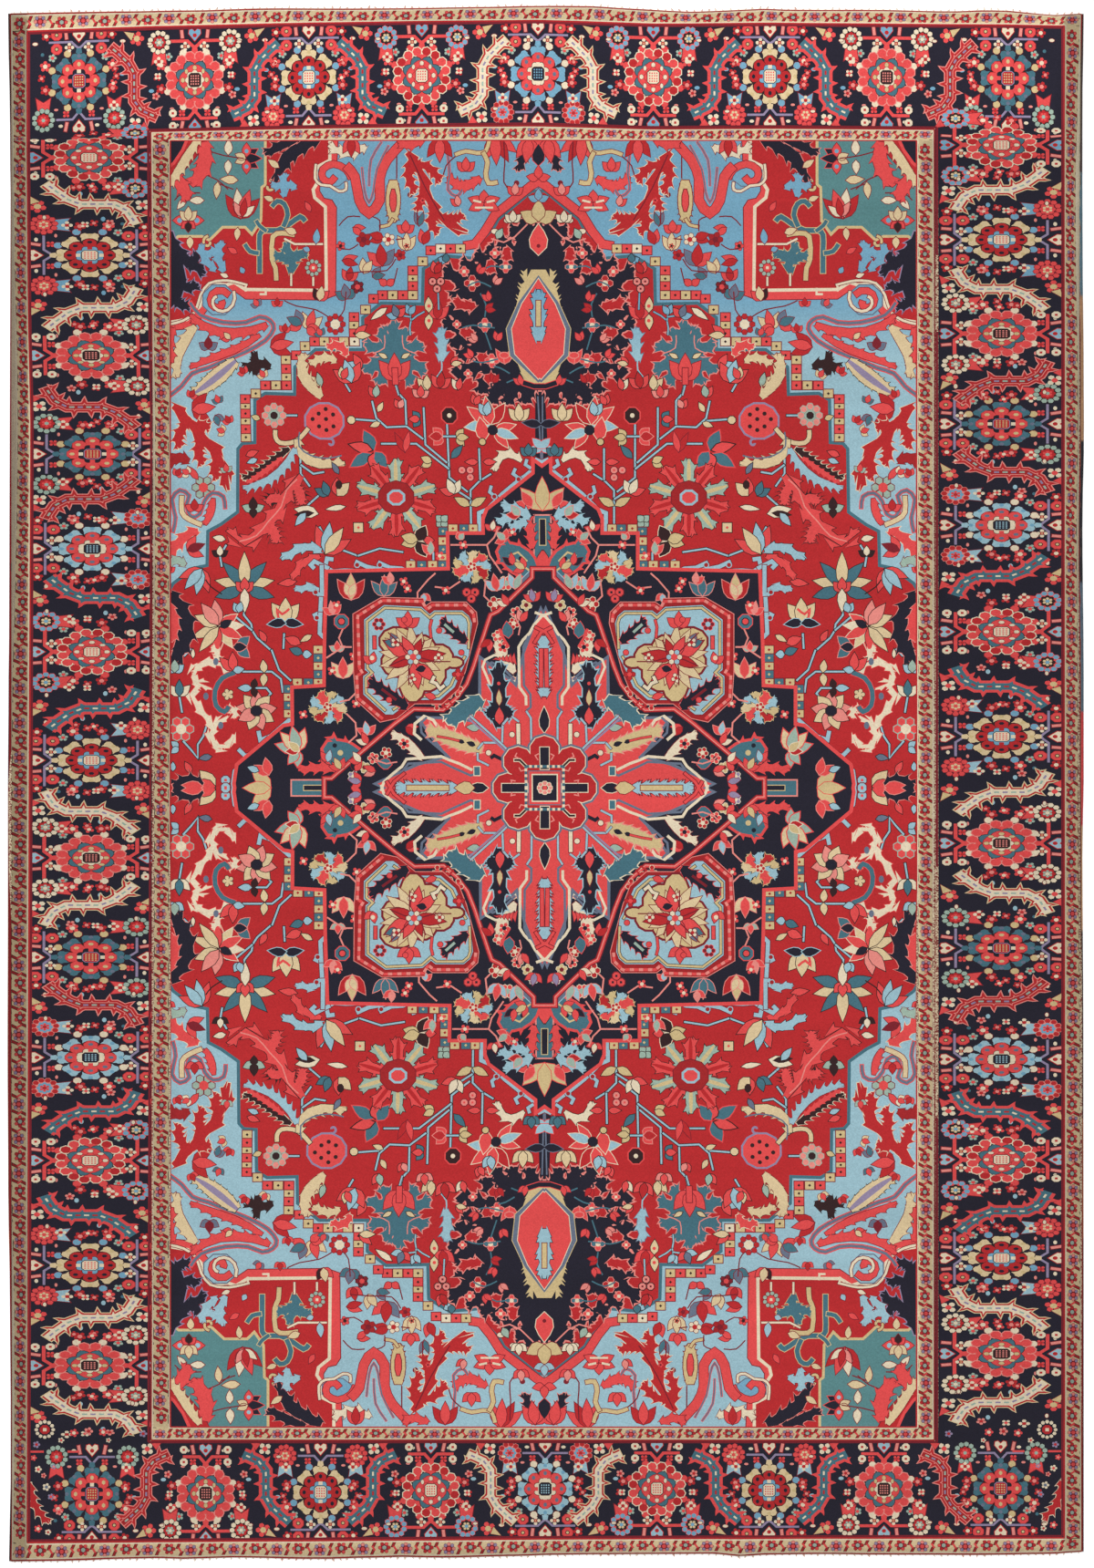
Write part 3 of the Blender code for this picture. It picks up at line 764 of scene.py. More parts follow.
# Red field: big rosette, its stems, and the leaves, palmettes and flowers around it
for path in ((52, 340, 65, 332, 75, 322, 75, 283), (75, 312, 92, 323), (78, 320, 98, 336, 98, 395),
             (98, 345, 133, 373, 172, 373), (100, 352, 123, 372, 123, 413), (143, 392, 143, 420, 150, 428),
             (125, 378, 143, 392, 165, 391, 176, 401, 180, 420), (176, 398, 202, 400), (85, 381, 107, 381),
             (64, 333, 64, 368), (117, 254, 117, 240), (42, 400, 60, 392), (238, 320, 254, 306, 262, 296),
             (262, 366, 262, 340, 252, 326), (262, 350, 248, 340, 236, 342), (150, 428, 153, 440),
             (204, 430, 212, 444), (200, 250, 232, 262, 242, 282), (150, 254, 176, 258, 200, 250),
             (288, 404, 264, 404), (325, 193, 326, 185, 318, 175, 317, 168, 312, 160, 295, 145),
             (317, 168, 336, 184, 346, 184), (282, 165, 283, 148), (275, 113, 288, 125, 296, 147),
             (284, 100, 286, 115, 296, 123, 328, 123), (303, 92, 297, 99, 302, 105, 315, 105),
             (367, 65, 371, 52, 377, 43, 377, 28, 384, 37, 393, 47), (394, 78, 397, 96),
             (345, 262, 352, 250, 350, 238), (384, 148, 392, 140)):
    quarter.trail("sky", 2.0, *path, edge="soot")
quarter.frond("ivory", 4, 6, 5, 18, 354, 30, 362, 42, 358, 47, 343, edge="soot", sides=(1.0, 0.2))
quarter.petals(10, 360, 92, 46, 13, 9, "teal", "teal", "teal")
quarter.petals(18, 398, 90, 40, 19, 10, "straw", "straw", "straw")
quarter.petals(50, 394, 60, 44, 32, 13, "sky", "coral", "coral", "madder", edge="ivory")
quarter.petals(46, 388, 200, 34, 26, 10, "coral", "sky", "coral", edge="ivory")
quarter.petal("coral", 58, 376, 82, 26, 14, edge="ivory")
quarter.petals(54, 404, 80, 40, 16, 9, "sky", "sky")
quarter.dots("navy", 5, 48, 388, edge="soot")
quarter.dots("sand", 3.6, 60, 375, edge="soot")
quarter.petal("coral", 60, 353, 180, 14, 7)
quarter.petal("coral", 66, 353, 0, 14, 7)
quarter.dots("pink", 3.8, 75, 344, 84, 344, 75, 336, edge="maroon", heart="coral")
quarter.outline(disc(95, 404, 8.6, 9), "soot", "coral", 1.4)
quarter.dots("ivory", 2.6, 95, 404)
quarter.petals(88, 380, 180, 50, 13, 8, "sand", "sand", "sand")
quarter.petals(104, 381, 0, 44, 14, 10, "coral", "madder", "coral", edge="pink")
quarter.petal("teal", 95, 357, 132, 19, 8)
quarter.petals(117, 353, 0, 50, 13, 8, "sand", "sand")
quarter.petals(128, 400, 0, 50, 12, 8, "teal", "coral", "teal")
quarter.petals(146, 364, 84, 40, 24, 7, "madder", "coral", edge="maroon")
for dye, *place in (("teal", 180, 366, 64, 24, 14), ("coral", 182, 366, 14, 26, 11),
                    ("teal", 184, 362, -32, 27, 13), ("coral", 181, 362, -82, 16, 10),
                    ("teal", 179, 364, -126, 21, 13)):
    quarter.petal(dye, *place, edge="coral" if dye == "teal" else "soot", line=1.2)
for k in range(10):
    tip = np.array((np.cos(np.pi * (k / 5 + 0.5)), 0.94 * np.sin(np.pi * (k / 5 + 0.5))))
    quarter.frond("coral" if k % 2 else "sage", 5.6, 6, 2, *(tip * 14 + (157, 314)),
                  *(tip * 30 + (157, 314)), *(tip * 45 + (157, 314)), edge="soot",
                  core="madder" if k % 2 else "sand")
quarter.outline(disc(157, 314, 20, 18, 10), "brick", "maroon")
quarter.outline(disc(157, 314, 8, 6.6), "coral", "sky", 2.6)
quarter.petals(107, 288, 90, 90, 9, 8, "sage", "sage", "sage", "sage")
quarter.petal("soot", 134, 266, 118, 19, 14, edge="ivory")
quarter.petal("soot", 134, 266, -118, 19, 14, edge="ivory")
quarter.petal("coral", 127, 267, 180, 11, 9)
quarter.petals(134, 267, 0, 30, 19, 12, "sand", "sand")
quarter.petal("sand", 75, 305, 152, 19, 9)
quarter.petal("sand", 76, 305, 28, 19, 9)
quarter.petals(93, 318, 66, 48, 18, 9, "coral", "ivory", "ivory")
quarter.tiles("straw", 5, 5, 199, 281, edge="soot", heart="coral")
quarter.outline(disc(234, 398, 21, 19, 12), "coral", "lilac", 2.2)
quarter.dots("soot", 2.4, 224, 405, 224, 392, 232, 400, 240, 392, 240, 406, 232, 388, 232, 411, 247, 400)
quarter.curl("lilac", 2.6, 228, 374, 5, 60, 0.8)
quarter.dots("straw", 4.4, 204, 399, edge="soot")
quarter.bloom(290, 404, 15, 8, "pink", "sage", "sage", 0.8)
quarter.dots("soot", 4.4, 290, 404)
quarter.bend("straw", 4.6, 252, 390, 262, 379, 272, 374, 284, 374, 289, 380, 289, 388, edge="soot")
quarter.frond("straw", 5, 8, 6, 266, 378, 263, 363, 250, 353, 232, 350, 213, 352, edge="soot",
              sides=(0.2, 1.0))
quarter.bend("slate", 1.6, 262, 386, 263, 370, 250, 360, 232, 357, 216, 360)
quarter.frond("sky", 4, 7, 9, 268, 368, 278, 350, 298, 333, 326, 324, edge="maroon", sides=(0.3, 1.0))
quarter.frond("soot", 4, 7, 8, 274, 368, 292, 354, 308, 342, 326, 334, edge="ivory", sides=(1.0, 0.3))
quarter.frond("coral", 2.6, 3, 7, 282, 358, 300, 344, 322, 330)
quarter.fronds("coral", 5, 9, 6, (262, 338, 276, 324, 282, 304, 298, 288, 312, 270, 330, 264, 344, 278),
               (282, 310, 292, 314, 300, 308), (300, 288, 290, 272, 290, 264),
               (268, 328, 262, 316, 262, 306), edge="soot")
quarter.bend("pink", 1.4, 266, 334, 278, 322, 284, 304, 298, 288, 312, 272, 330, 266)
for dye, *place in (("ivory", 243, 296, 12, 27, 13), ("soot", 249, 297, -6, 20, 6),
                    ("sky", 257, 297, -50, 18, 8), ("ivory", 213, 304, -8, 22, 6),
                    ("ivory", 346, 268, 10, 14, 7), ("coral", 268, 222, -8, 20, 8),
                    ("sand", 306, 400, 20, 10, 6), ("coral", 322, 360, 160, 14, 7),
                    ("sky", 310, 356, -20, 12, 6), ("straw", 174, 408, 120, 12, 6),
                    ("straw", 172, 396, -20, 12, 6), ("slate", 220, 340, 60, 14, 6)):
    quarter.petal(dye, *place)
quarter.petals(236, 252, 112, 26, 36, 13, "coral", "sky", "straw", "coral")
quarter.frond("sky", 4, 5, 3, 240, 256, 260, 260, 284, 246, edge="soot")
quarter.frond("coral", 3.4, 4, 3, 242, 250, 262, 242, 272, 224, edge="soot")
quarter.frond("sky", 3.4, 4, 3, 238, 206, 252, 216, 270, 212, edge="maroon")
quarter.petals(222, 316, 112, 44, 20, 12, "coral", "straw")
quarter.dots("soot", 4, 220, 328, tall=1.3)
quarter.petals(232, 316, 50, 44, 17, 9, "teal", "teal")
quarter.petals(315, 300, 90, 68, 14, 9, "sage", "soot", "sage")
quarter.petals(315, 302, -90, 68, 10, 8, "soot")
quarter.petals(352, 250, 90, 58, 11, 7, "soot", "ivory", "soot")
quarter.petals(325, 216, 90, 36, 38, 13, "straw", "teal", "straw", "teal", "straw", bend=0.1)
quarter.petal("teal", 322, 213, 196, 30, 13)
quarter.petal("teal", 328, 213, -16, 30, 13)
quarter.petals(325, 211, 90, 42, 15, 10, "coral", "coral", "coral")
quarter.petal("ivory", 325, 214, -90, 26, 10)
quarter.petals(372, 236, -64, 28, 30, 11, "coral", "sky", "sky", "coral")
quarter.bend("soot", 1.4, 350, 208, 362, 216, 368, 224)
# Teal palmette with hooked lobes round a coral lily, and the small flowers of its branch
quarter.fronds("teal", 6, 7, 3,
               *((153, 466, (153 + x) / 2, (466 + y) / 2 + 3, x, y)
                 for x, y in ((153, 508), (138, 500), (168, 500), (120, 482), (186, 482), (118, 452),
                              (188, 452), (134, 438), (172, 438))),
               edge="pink", line=1.2)
for way in (1, -1):
    quarter.bend("pink", 1.2, 153 + 10 * way, 492, 153 + 11 * way, 478, 153 + 24 * way, 472)
    quarter.petal("straw", 153 + 8 * way, 467, 90 - 62 * way, 11, 5)
quarter.petals(153, 442, 90, 38, 30, 15, "coral", "coral", "coral", edge="maroon")
quarter.trail("coral", 6, 153, 456, 153, 438, edge="maroon")
quarter.frond("sky", 4.4, 6, 3, 101, 464, 99, 480, 101, 500, edge="slate")
quarter.bend("sky", 1.6, 101, 466, 101, 454, 109, 444)
quarter.petals(104, 510, 96, 38, 20, 10, "coral", "madder", "coral", edge="maroon")
quarter.petal("straw", 113, 517, 88, 17, 9)
quarter.petal("straw", 113, 515, -88, 17, 9)
quarter.dots("coral", 2, 113, 524, 113, 508)
for path in ((118, 518, 133, 508, 134, 492), (133, 508, 134, 518), (133, 512, 146, 514),
             (103, 544, 102, 520), (153, 437, 150, 426)):
    quarter.bend("sky", 1.6, *path, edge="soot", line=0.6)
for x, y, turn, spread, size, wide, dyes in ((135, 515, 100, 50, 12, 7, ("sky", "sky")),
                                             (148, 512, 70, 60, 14, 8, ("sky", "slate", "coral")),
                                             (160, 522, -36, 30, 22, 7, ("ivory",)),
                                             (94, 572, 60, 60, 10, 8, ("sky", "teal")),
                                             (106, 560, 100, 40, 14, 8, ("coral", "madder")),
                                             (20, 616, 90, 46, 13, 8, ("ivory", "ivory", "ivory")),
                                             (38, 598, 120, 30, 13, 8, ("sage",)),
                                             (104, 434, 100, 40, 18, 9, ("coral", "madder", "coral")),
                                             (118, 432, 70, 40, 17, 9, ("straw", "straw")),
                                             (84, 432, 84, 40, 14, 7, ("ivory", "coral")),
                                             (190, 456, 40, 40, 18, 9, ("sky", "coral")),
                                             (202, 440, 75, 40, 26, 12, ("coral", "sky", "coral")),
                                             (176, 424, 80, 40, 14, 8, ("coral", "sage")),
                                             (212, 444, 100, 30, 14, 8, ("straw", "coral")),
                                             (196, 492, 160, 40, 18, 8, ("coral", "straw")),
                                             (66, 416, 100, 40, 12, 7, ("coral", "coral")),
                                             (126, 424, 95, 50, 13, 8, ("pink", "coral", "pink")),
                                             (236, 436, 60, 30, 16, 7, ("straw", "sage")),
                                             (150, 412, 90, 50, 11, 7, ("coral", "pink")),
                                             (90, 460, 150, 40, 12, 6, ("coral", "straw"))):
    quarter.petals(x, y, turn, spread, size, wide, *dyes)
quarter.dots("pink", 4.0, 100, 551, 109, 551, 104, 543, edge="soot", heart="maroon")
quarter.frond("straw", 6, 8, 6, 236, 424, 248, 436, 258, 452, 256, 472, edge="maroon", sides=(1.0, 0.4))
quarter.frond("straw", 4, 5, 4, 218, 464, 232, 468, 248, 460, edge="maroon")
quarter.frond("coral", 4, 5, 4, 206, 470, 214, 482, 228, 478, edge="ivory")
# Flowers, a dragon-like leaf and a looped stem beside the medallion's cross arm
quarter.petals(281, 176, 92, 26, 28, 15, "straw", "straw", "straw", bend=0.15)
quarter.bend("coral", 2.6, 276, 192, 284, 186, 290, 192, 288, 182)
quarter.petal("navy", 282, 176, 172, 20, 10, 0.2, edge="sky")
quarter.petal("navy", 280, 176, 8, 20, 10, -0.2, edge="sky")
quarter.petals(354, 172, 206, 30, 29, 11, "coral", "ivory", "coral", "straw", "coral", edge="ivory")
quarter.petals(354, 172, -52, 30, 34, 11, "coral", "straw", "straw")
quarter.petals(354, 174, 52, 30, 30, 13, "straw", "pink", "pink")
quarter.petal("navy", 352, 172, 150, 14, 8)
quarter.petals(332, 188, 85, 40, 12, 8, "sky", "sky")
quarter.frond("navy", 9, 10, 6, 408, 208, 394, 190, 389, 168, 396, 148, 406, 130, edge="pink",
              sides=(0.4, 1.0))
quarter.frond("coral", 5, 5, 4, 408, 196, 402, 176, 406, 156, edge="pink")
quarter.petals(402, 122, 90, 50, 14, 9, "sky", "sage", "sky")
for turn in (138, -138):
    quarter.petal("teal", 333, 150, turn, 17, 11, edge="pink")
quarter.petal("navy", 338, 150, 180, 15, 10, edge="pink")
for k in range(9):
    quarter.petal("straw" if k % 2 else "pink", 313, 80, 40 * k + 12, 22, 14)
quarter.outline(disc(313, 80, 6, 5.5), "navy", "soot")
quarter.bloom(395, 60, 14, 6, "coral", "ivory", "sage", 1.0)
quarter.fronds("ivory", 2.8, 5, 4, (338, 54, 344, 41, 358, 41, 363, 56, 353, 70, 344, 74),
               (360, 60, 371, 78, 384, 96, 374, 110, 362, 104),
               (374, 106, 384, 122, 370, 132, 352, 132, 342, 120), (360, 130, 354, 142, 362, 150),
               (348, 78, 338, 84, 336, 72), edge="coral")
quarter.dots("slate", 3, 368, 96, 357, 134, 352, 64, tall=1.4)
quarter.bend("teal", 5, 336, 122, 350, 116, 358, 102, 357, 86, 348, 79, 343, 85, edge="coral")
quarter.petals(338, 124, 66, 44, 21, 10, "coral", "coral")
for dye, *place in (("straw", 304, 122, 84, 14, 8), ("straw", 304, 121, -84, 14, 8),
                    ("sky", 338, 124, 170, 12, 8), ("soot", 316, 105, 100, 10, 7),
                    ("soot", 316, 105, -100, 10, 7), ("sky", 318, 105, 0, 15, 8),
                    ("coral", 264, 154, 20, 18, 10), ("straw", 252, 163, -30, 14, 6),
                    ("coral", 302, 156, 60, 14, 7), ("sky", 262, 142, 180, 10, 9),
                    ("teal", 262, 143, 20, 15, 9), ("ivory", 382, 138, 90, 10, 4),
                    ("sky", 398, 40, 40, 10, 7), ("sky", 398, 40, -40, 10, 7),
                    ("slate", 362, 30, -10, 14, 7), ("coral", 384, 12, 60, 14, 7),
                    ("sky", 404, 14, 90, 10, 6)):
    quarter.petal(dye, *place)
quarter.bloom(344, 98, 6, 5, "straw", "straw", "soot", 0.6)
quarter.petals(397, 96, 90, 44, 18, 9, "ivory", "teal", "ivory")
quarter.petals(358, -3, 6, 40, 26, 14, "straw", "coral", "straw")
quarter.frond("navy", 7, 9, 4, 372, -2, 386, 3, 404, -3, edge="pink")
quarter.petal("coral", 372, -3, 4, 22, 10, edge="pink")
# Medallion: sky edging with hooks and squares, coral line, navy ground
for path in ((-12, 356, -3, 352, 14, 338, 24, 331, 40, 318, 50, 308, 57, 301, 66, 297, 66, 277),
             (140, 246, 144, 232, 152, 236, 165, 237, 178, 243), (165, 233, 190, 238, 203, 244),
             (190, 233, 215, 234, 228, 233, 236, 238, 234, 247, 227, 246),
             (232, 236, 240, 240, 248, 244, 252, 240, 248, 236), (240, 240, 240, 205, 248, 211),
             (241, 205, 242, 188, 250, 184), (242, 188, 243, 165, 236, 158, 230, 154, 234, 148, 240, 152),
             (275, 72, 298, 52, 309, 48, 311, 58), (300, 50, 318, 34, 325, 30, 333, 38),
             (318, 34, 337, 14, 339, 0, 337, -12)):
    quarter.trail("sky", 4.4, *path, edge="maroon")
for path in ((20, 334, 28, 340, 25, 346), (46, 313, 54, 320, 52, 327), (8, 346, 14, 350, 12, 356)):
    quarter.trail("sky", 3.4, *path, edge="maroon")
quarter.dots("brick", 2.4, 22, 334, 49, 315, 176, 240, 201, 240, 247, 210, 246, 182, edge="sky")
quarter.dots("sky", 5, 347, 4, 347, -4, edge="maroon", heart="coral")
quarter.tiles("sand", 4.8, 4.2, 73, 280, 95, 280, 106, 266, 106, 248, 118, 240, 142, 240, 245, 147, 245, 129,
              245, 112, 268, 111, 278, 95, 278, 77, edge="maroon", heart="brick")
quarter.tiles("teal", 4.8, 4.2, 83, 280, 106, 277, 106, 257, 107, 240, 130, 240, 245, 138, 245, 120, 256,
              111, 278, 104, 278, 86, edge="maroon", heart="sand")
quarter.shape("navy", -12, 352, -5, 347, 13, 333, 40, 312, 56, 300, 60, 290, 60, 273, 99, 273, 99, 234, 148,
              233, 233, 231, 236, 155, 237, 106, 272, 104, 272, 64, 283, 62, 333, 20, 336, 0, 334, -12, -12,
              -12, edge="coral", line=4.0)
# Tip of the long arm
quarter.petals(-4, 300, 90, 44, 36, 15, "sand", "sand", "sand", edge="coral")
quarter.petals(8, 304, 34, 46, 20, 10, "coral", "coral", edge="pink")
quarter.trail("teal", 16, -4, 232, -4, 294, edge="pink", line=1.6)
quarter.trail("navy", 5, -4, 262, -4, 290, edge="sand")
quarter.petal("coral", -4, 232, 90, 24, 14)
quarter.frond("coral", 4, 6, 4, 8, 258, 10, 276, 12, 294, edge="navy")
quarter.frond("teal", 14, 6, 3, 8, 232, 24, 246, 44, 258, edge="coral", line=3.0)
quarter.fronds("sky", 4.4, 6, 3, (10, 292, 22, 300, 42, 306), (24, 296, 34, 292, 46, 286),
               (14, 288, 24, 284, 32, 280), edge="navy")
quarter.petals(22, 294, 30, 50, 14, 8, "madder", "sage", edge="pink")
quarter.petals(38, 268, 40, 60, 12, 7, "coral", "sage", "coral", edge="pink")
quarter.petals(52, 278, 100, 60, 11, 6, "coral", "ivory", "coral", edge="maroon")
quarter.trail("sand", 2.0, 14, 244, 24, 254, 34, 250)
quarter.trail("sand", 2.0, 12, 234, 20, 240, 26, 246)
quarter.dots("navy", 2.6, 21, 247, 30, 247)
quarter.trail("slate", 3.5, -12, 232, 0, 222, 12, 230, 22, 220, 12, 212, 20, 204, edge="sky", line=1.0)
quarter.trail("slate", 3.5, -12, 206, -2, 214, 10, 204, edge="sky", line=1.0)
# Tip of the cross arm
quarter.petals(298, -4.5, 0, 44, 30, 14, "sand", "sand", "sand", edge="coral")
quarter.petals(300, 10, 56, 46, 19, 10, "coral", "coral", edge="pink")
quarter.petal("sky", 311, 14, 20, 13, 7, edge="navy")
quarter.frond("teal", 16, 6, 3, 197, 22, 216, 28, 238, 42, edge="coral", line=3.0)
quarter.trail("teal", 16, 216, -4.5, 275, -4.5, edge="pink", line=1.6)
quarter.trail("navy", 5, 234, -4.5, 262, -4.5, edge="sand")
quarter.frond("coral", 4, 6, 4, 222, 15, 244, 18, 268, 15, edge="navy")
quarter.petals(268, 36, 62, 30, 28, 12, "sage", "straw", "sage", "straw", edge="coral", line=1.2)
quarter.petals(268, 36, -70, 34, 18, 10, "sage", "sage", edge="coral", line=1.2)
quarter.petals(267, 36, 20, 44, 15, 8, "madder", "sand", edge="ivory")
quarter.dots("sand", 3.2, 222, 34, 212, 22)
quarter.dots("navy", 2.6, 228, 42, 204, 30)
# Flowers on the navy ground
for x, y, turn in ((75, 238, 0), (235, 84, 90)):
    for k, dye in enumerate(("sand", "sky", "straw", "coral", "sky", "madder", "sand", "sky", "coral")):
        angle = 2 * np.pi * k / 9 + np.radians(turn + 15)
        tip = np.array((np.cos(angle), 0.85 * np.sin(angle)))
        quarter.frond(dye, 4.4, 5, 2, *(tip * 4 + (x, y)), *(tip * 12 + (x, y)), *(tip * 21 + (x, y)),
                      edge="sand" if dye in ("madder", "coral") else "navy", line=0.7)
    quarter.bloom(x, y, 5, 5, "madder", "ivory", "ivory", 0.7)
quarter.bloom(38, 220, 8, 6, "coral", "sage", "ivory", 0.8)
for x, y, turn, spread, size, wide, dyes in ((28, 214, 90, 44, 18, 8, ("sky", "sage")),
                                             (48, 212, 80, 40, 18, 8, ("sky", "coral", "sky")),
                                             (172, 206, 92, 42, 22, 9, ("teal", "teal", "teal")),
                                             (164, 220, 60, 50, 12, 7, ("coral", "pink")),
                                             (208, 202, 90, 34, 28, 12, ("madder", "sand", "madder")),
                                             (209, 206, 90, 44, 15, 8, ("straw", "straw")),
                                             (218, 116, 90, 36, 22, 10, ("straw", "coral", "straw")),
                                             (224, 146, 90, 60, 10, 6, ("sage", "coral", "sage")),
                                             (192, 54, 80, 50, 14, 7, ("coral", "sky", "coral")),
                                             (120, 252, 70, 44, 14, 7, ("coral", "sage")),
                                             (88, 268, 100, 50, 8, 6, ("coral", "sage")),
                                             (228, 186, 80, 50, 14, 7, ("coral", "pink", "coral")),
                                             (128, 208, 250, 50, 10, 6, ("coral", "sky"))):
    quarter.petals(x, y, turn, spread, size, wide, *dyes, edge="pink")
quarter.dots("coral", 4.4, 72, 210, 81, 210, 76, 203, edge="maroon", heart="navy")
quarter.bloom(50, 197, 8, 5, "madder", "ivory", "ivory", 0.7)
for path in ((45, 281, 50, 270, 58, 262, 98, 262), (58, 262, 55, 250, 48, 240, 42, 231),
             (115, 231, 123, 224, 135, 210, 135, 203), (208, 150, 218, 150, 236, 138),
             (215, 77, 205, 67, 204, 53, 213, 45), (88, 222, 100, 214, 116, 216),
             (214, 178, 222, 160, 218, 150), (60, 222, 62, 206, 56, 200), (204, 100, 212, 92, 222, 90)):
    quarter.trail("pink", 1.8, *path)
quarter.dots("teal", 8, 219, 178, edge="coral", heart="sand")
quarter.dots("coral", 3.4, 219, 178, edge="navy")
for x, y in ((104, 212), (146, 214), (206, 140), (224, 196), (204, 88), (196, 108), (150, 222), (84, 262),
             (110, 250), (230, 124), (30, 276), (262, 76)):
    quarter.bloom(x, y, 5, 4, "coral", "ivory", turn=0.6)

# Wide band round the coral heart of the medallion, and what grows between them
for dye, edge, line in (("navy", "maroon", 6.0), ("madder", "coral", 4.8), ("navy", "pink", 3.0),
                        ("navy", "madder", 1.8), ("navy", "maroon", 0.7)):
    quarter.shape(dye, -12, 233, -2, 233, 45, 187, 53, 183, 57, 172, 60, 163, 68, 140, 72, 128, 80, 108, 92,
                  92, 108, 78, 140, 79, 160, 64, 200, 30, 232, 2, 237, -4, 237, -12, -12, -12, edge=edge,
                  line=line)
quarter.frond("ivory", 5, 6, 5, 30, 122, 38, 132, 46, 144, 50, 156, edge="maroon", sides=(1.0, 0.4))
quarter.frond("ivory", 5, 6, 5, 132, 28, 142, 38, 152, 48, 166, 56, edge="maroon", sides=(0.4, 1.0))
for x, y, one, other in ((16, 196, "sand", "maroon"), (27, 188, "coral", "navy"),
                         (10, 206, "lilac", "ivory"), (42, 150, "coral", "navy"),
                         (30, 176, "madder", "ivory"), (48, 162, "coral", "ivory"),
                         (196, 18, "sand", "maroon"), (186, 28, "coral", "navy"), (208, 8, "lilac", "ivory"),
                         (152, 44, "coral", "navy"), (172, 34, "madder", "ivory"),
                         (30, 112, "coral", "ivory")):
    quarter.bloom(x, y, 6, 5, one, other, "ivory", 0.6, turn=x)
quarter.petal("teal", 36, 160, 84, 18, 12, edge="coral")
quarter.petal("teal", 166, 21, 8, 16, 12, edge="coral")
quarter.trail("pink", 1.6, 25, 163, 23, 172, 28, 182, 34, 187)
quarter.trail("pink", 1.6, 160, 24, 172, 22, 184, 26, 190, 32)
quarter.trail("coral", 3, 36, 150, 42, 160, 46, 170)
for x, y, turn, dyes in ((222, 16, 62, ("coral", "sand", "coral")), (206, 14, 100, ("navy", "coral")),
                         (236, 24, 80, ("coral", "sky")), (17, 236, 30, ("coral", "sand", "coral")),
                         (30, 240, 60, ("navy", "coral")), (200, 24, 30, ("coral", "ivory")),
                         (8, 200, 80, ("coral", "lilac", "coral")),
                         (200, 2, 10, ("coral", "lilac", "coral")), (36, 196, 40, ("ivory", "coral")),
                         (192, 44, 40, ("ivory", "coral")), (56, 158, 300, ("coral", "madder")),
                         (150, 62, 200, ("coral", "madder")), (22, 178, 100, ("pink", "coral")),
                         (184, 14, 0, ("pink", "coral"))):
    quarter.petals(x, y, turn, 46, 14, 7, *dyes, edge="maroon", line=0.6)
# Coral heart: its arms with their slate and ivory outlines
for line, dye in ((3.0, "slate"), (0.0, "coral")):
    for turn, length, width in ((90, 190, 62), (0, 182, 66), (64, 152, 62), (28, 152, 62), (46, 112, 76)):
        quarter.outline(almond(0, 0, turn, length + 2 * line, width + 2 * line), dye)
    quarter.outline(disc(-1, -4.5, 80 + line, sides=12), dye)
quarter.trail("ivory", 3.0, -12, 188, -1, 184, 8, 174, 13, 165, 20, 158, 25, 150, 25, 106, 18, 96, 18, 86)
quarter.trail("slate", 2.5, 14, 162, 20, 150, 20, 108, 13, 98, 13, 84, 18, 80)
quarter.trail("ivory", 2.6, 33, 126, 36, 140, 52, 141, 62, 136, 65, 128, 60, 116, 57, 108)
quarter.dots("ivory", 3.0, 56, 106)
quarter.trail("slate", 2.5, 30, 114, 45, 129, 55, 133, 60, 130, 58, 120)
quarter.trail("ivory", 3.0, 178, -8, 175, 2, 165, 11, 155, 19, 150, 27, 112, 30, 103, 26, 92, 22, 78, 15)
quarter.trail("slate", 2.5, 156, 12, 148, 22, 112, 24, 102, 19, 80, 9, 72, 12)
quarter.tiles("teal", 3, 4.6, 73, 14, edge="ivory")
quarter.trail("ivory", 3.2, 115, 62, 120, 70, 130, 74, 140, 66, 141, 55, 133, 48)
quarter.trail("slate", 2.5, 102, 28, 124, 47, 133, 56, 134, 66, 127, 73)
quarter.dots("ivory", 3.0, 112, 60)
for k in range(6):
    quarter.shape("coral", 28 + 4 * k, 131 + 1.2 * k, 34 + 4 * k, 136, 30 + 4 * k, 143 - k, edge="maroon",
                  line=0.6)
# Serrated stems on both axes
quarter.frond("sky", 6, 6, 7, -1.5, 96, -1.5, 130, -1.5, 162, edge="maroon", line=1.4)
quarter.frond("sky", 6, 6, 7, 96, -4.5, 130, -4.5, 162, -4.5, edge="maroon", line=1.4)
quarter.trail("coral", 4, -5, 148, -5, 106, edge="maroon")
quarter.trail("sand", 4.4, 150, -5, 104, -5, edge="maroon")
quarter.trail("coral", 3, -12, 172, 0, 166, 8, 154, edge="maroon")
quarter.trail("coral", 3, 172, -12, 164, 2, 152, 12, edge="maroon")
# Navy palmette, sand and teal leaves on the coral
quarter.fronds("navy", 7, 7, 4, (47.5, 62, 47.5, 96, 47.5, 133), (47, 84, 40, 78, 34, 74),
               (48, 84, 55, 78, 61, 74), edge="sky", line=1.4)
quarter.petal("sand", 47.5, 86, 90, 17, 6, edge="maroon")
quarter.petal("coral", 47.5, 65, 90, 19, 10, edge="navy")
quarter.frond("sand", 8, 6, 7, 67, 38, 84, 43, 104, 51, 127, 60, edge="pink", line=1.4)
quarter.petal("navy", 74, 42, 20, 11, 6, edge=None)
quarter.petal("navy", 86, 45, 20, 9, 5, edge=None)
quarter.frond("teal", 9, 8, 4, 67, 94, 84, 82, 105, 67, edge="ivory", line=1.2)
quarter.petal("sage", 69, 61, 5, 15, 8, edge="maroon")
quarter.petal("navy", -1.5, 56, 90, 28, 11, edge="ivory")
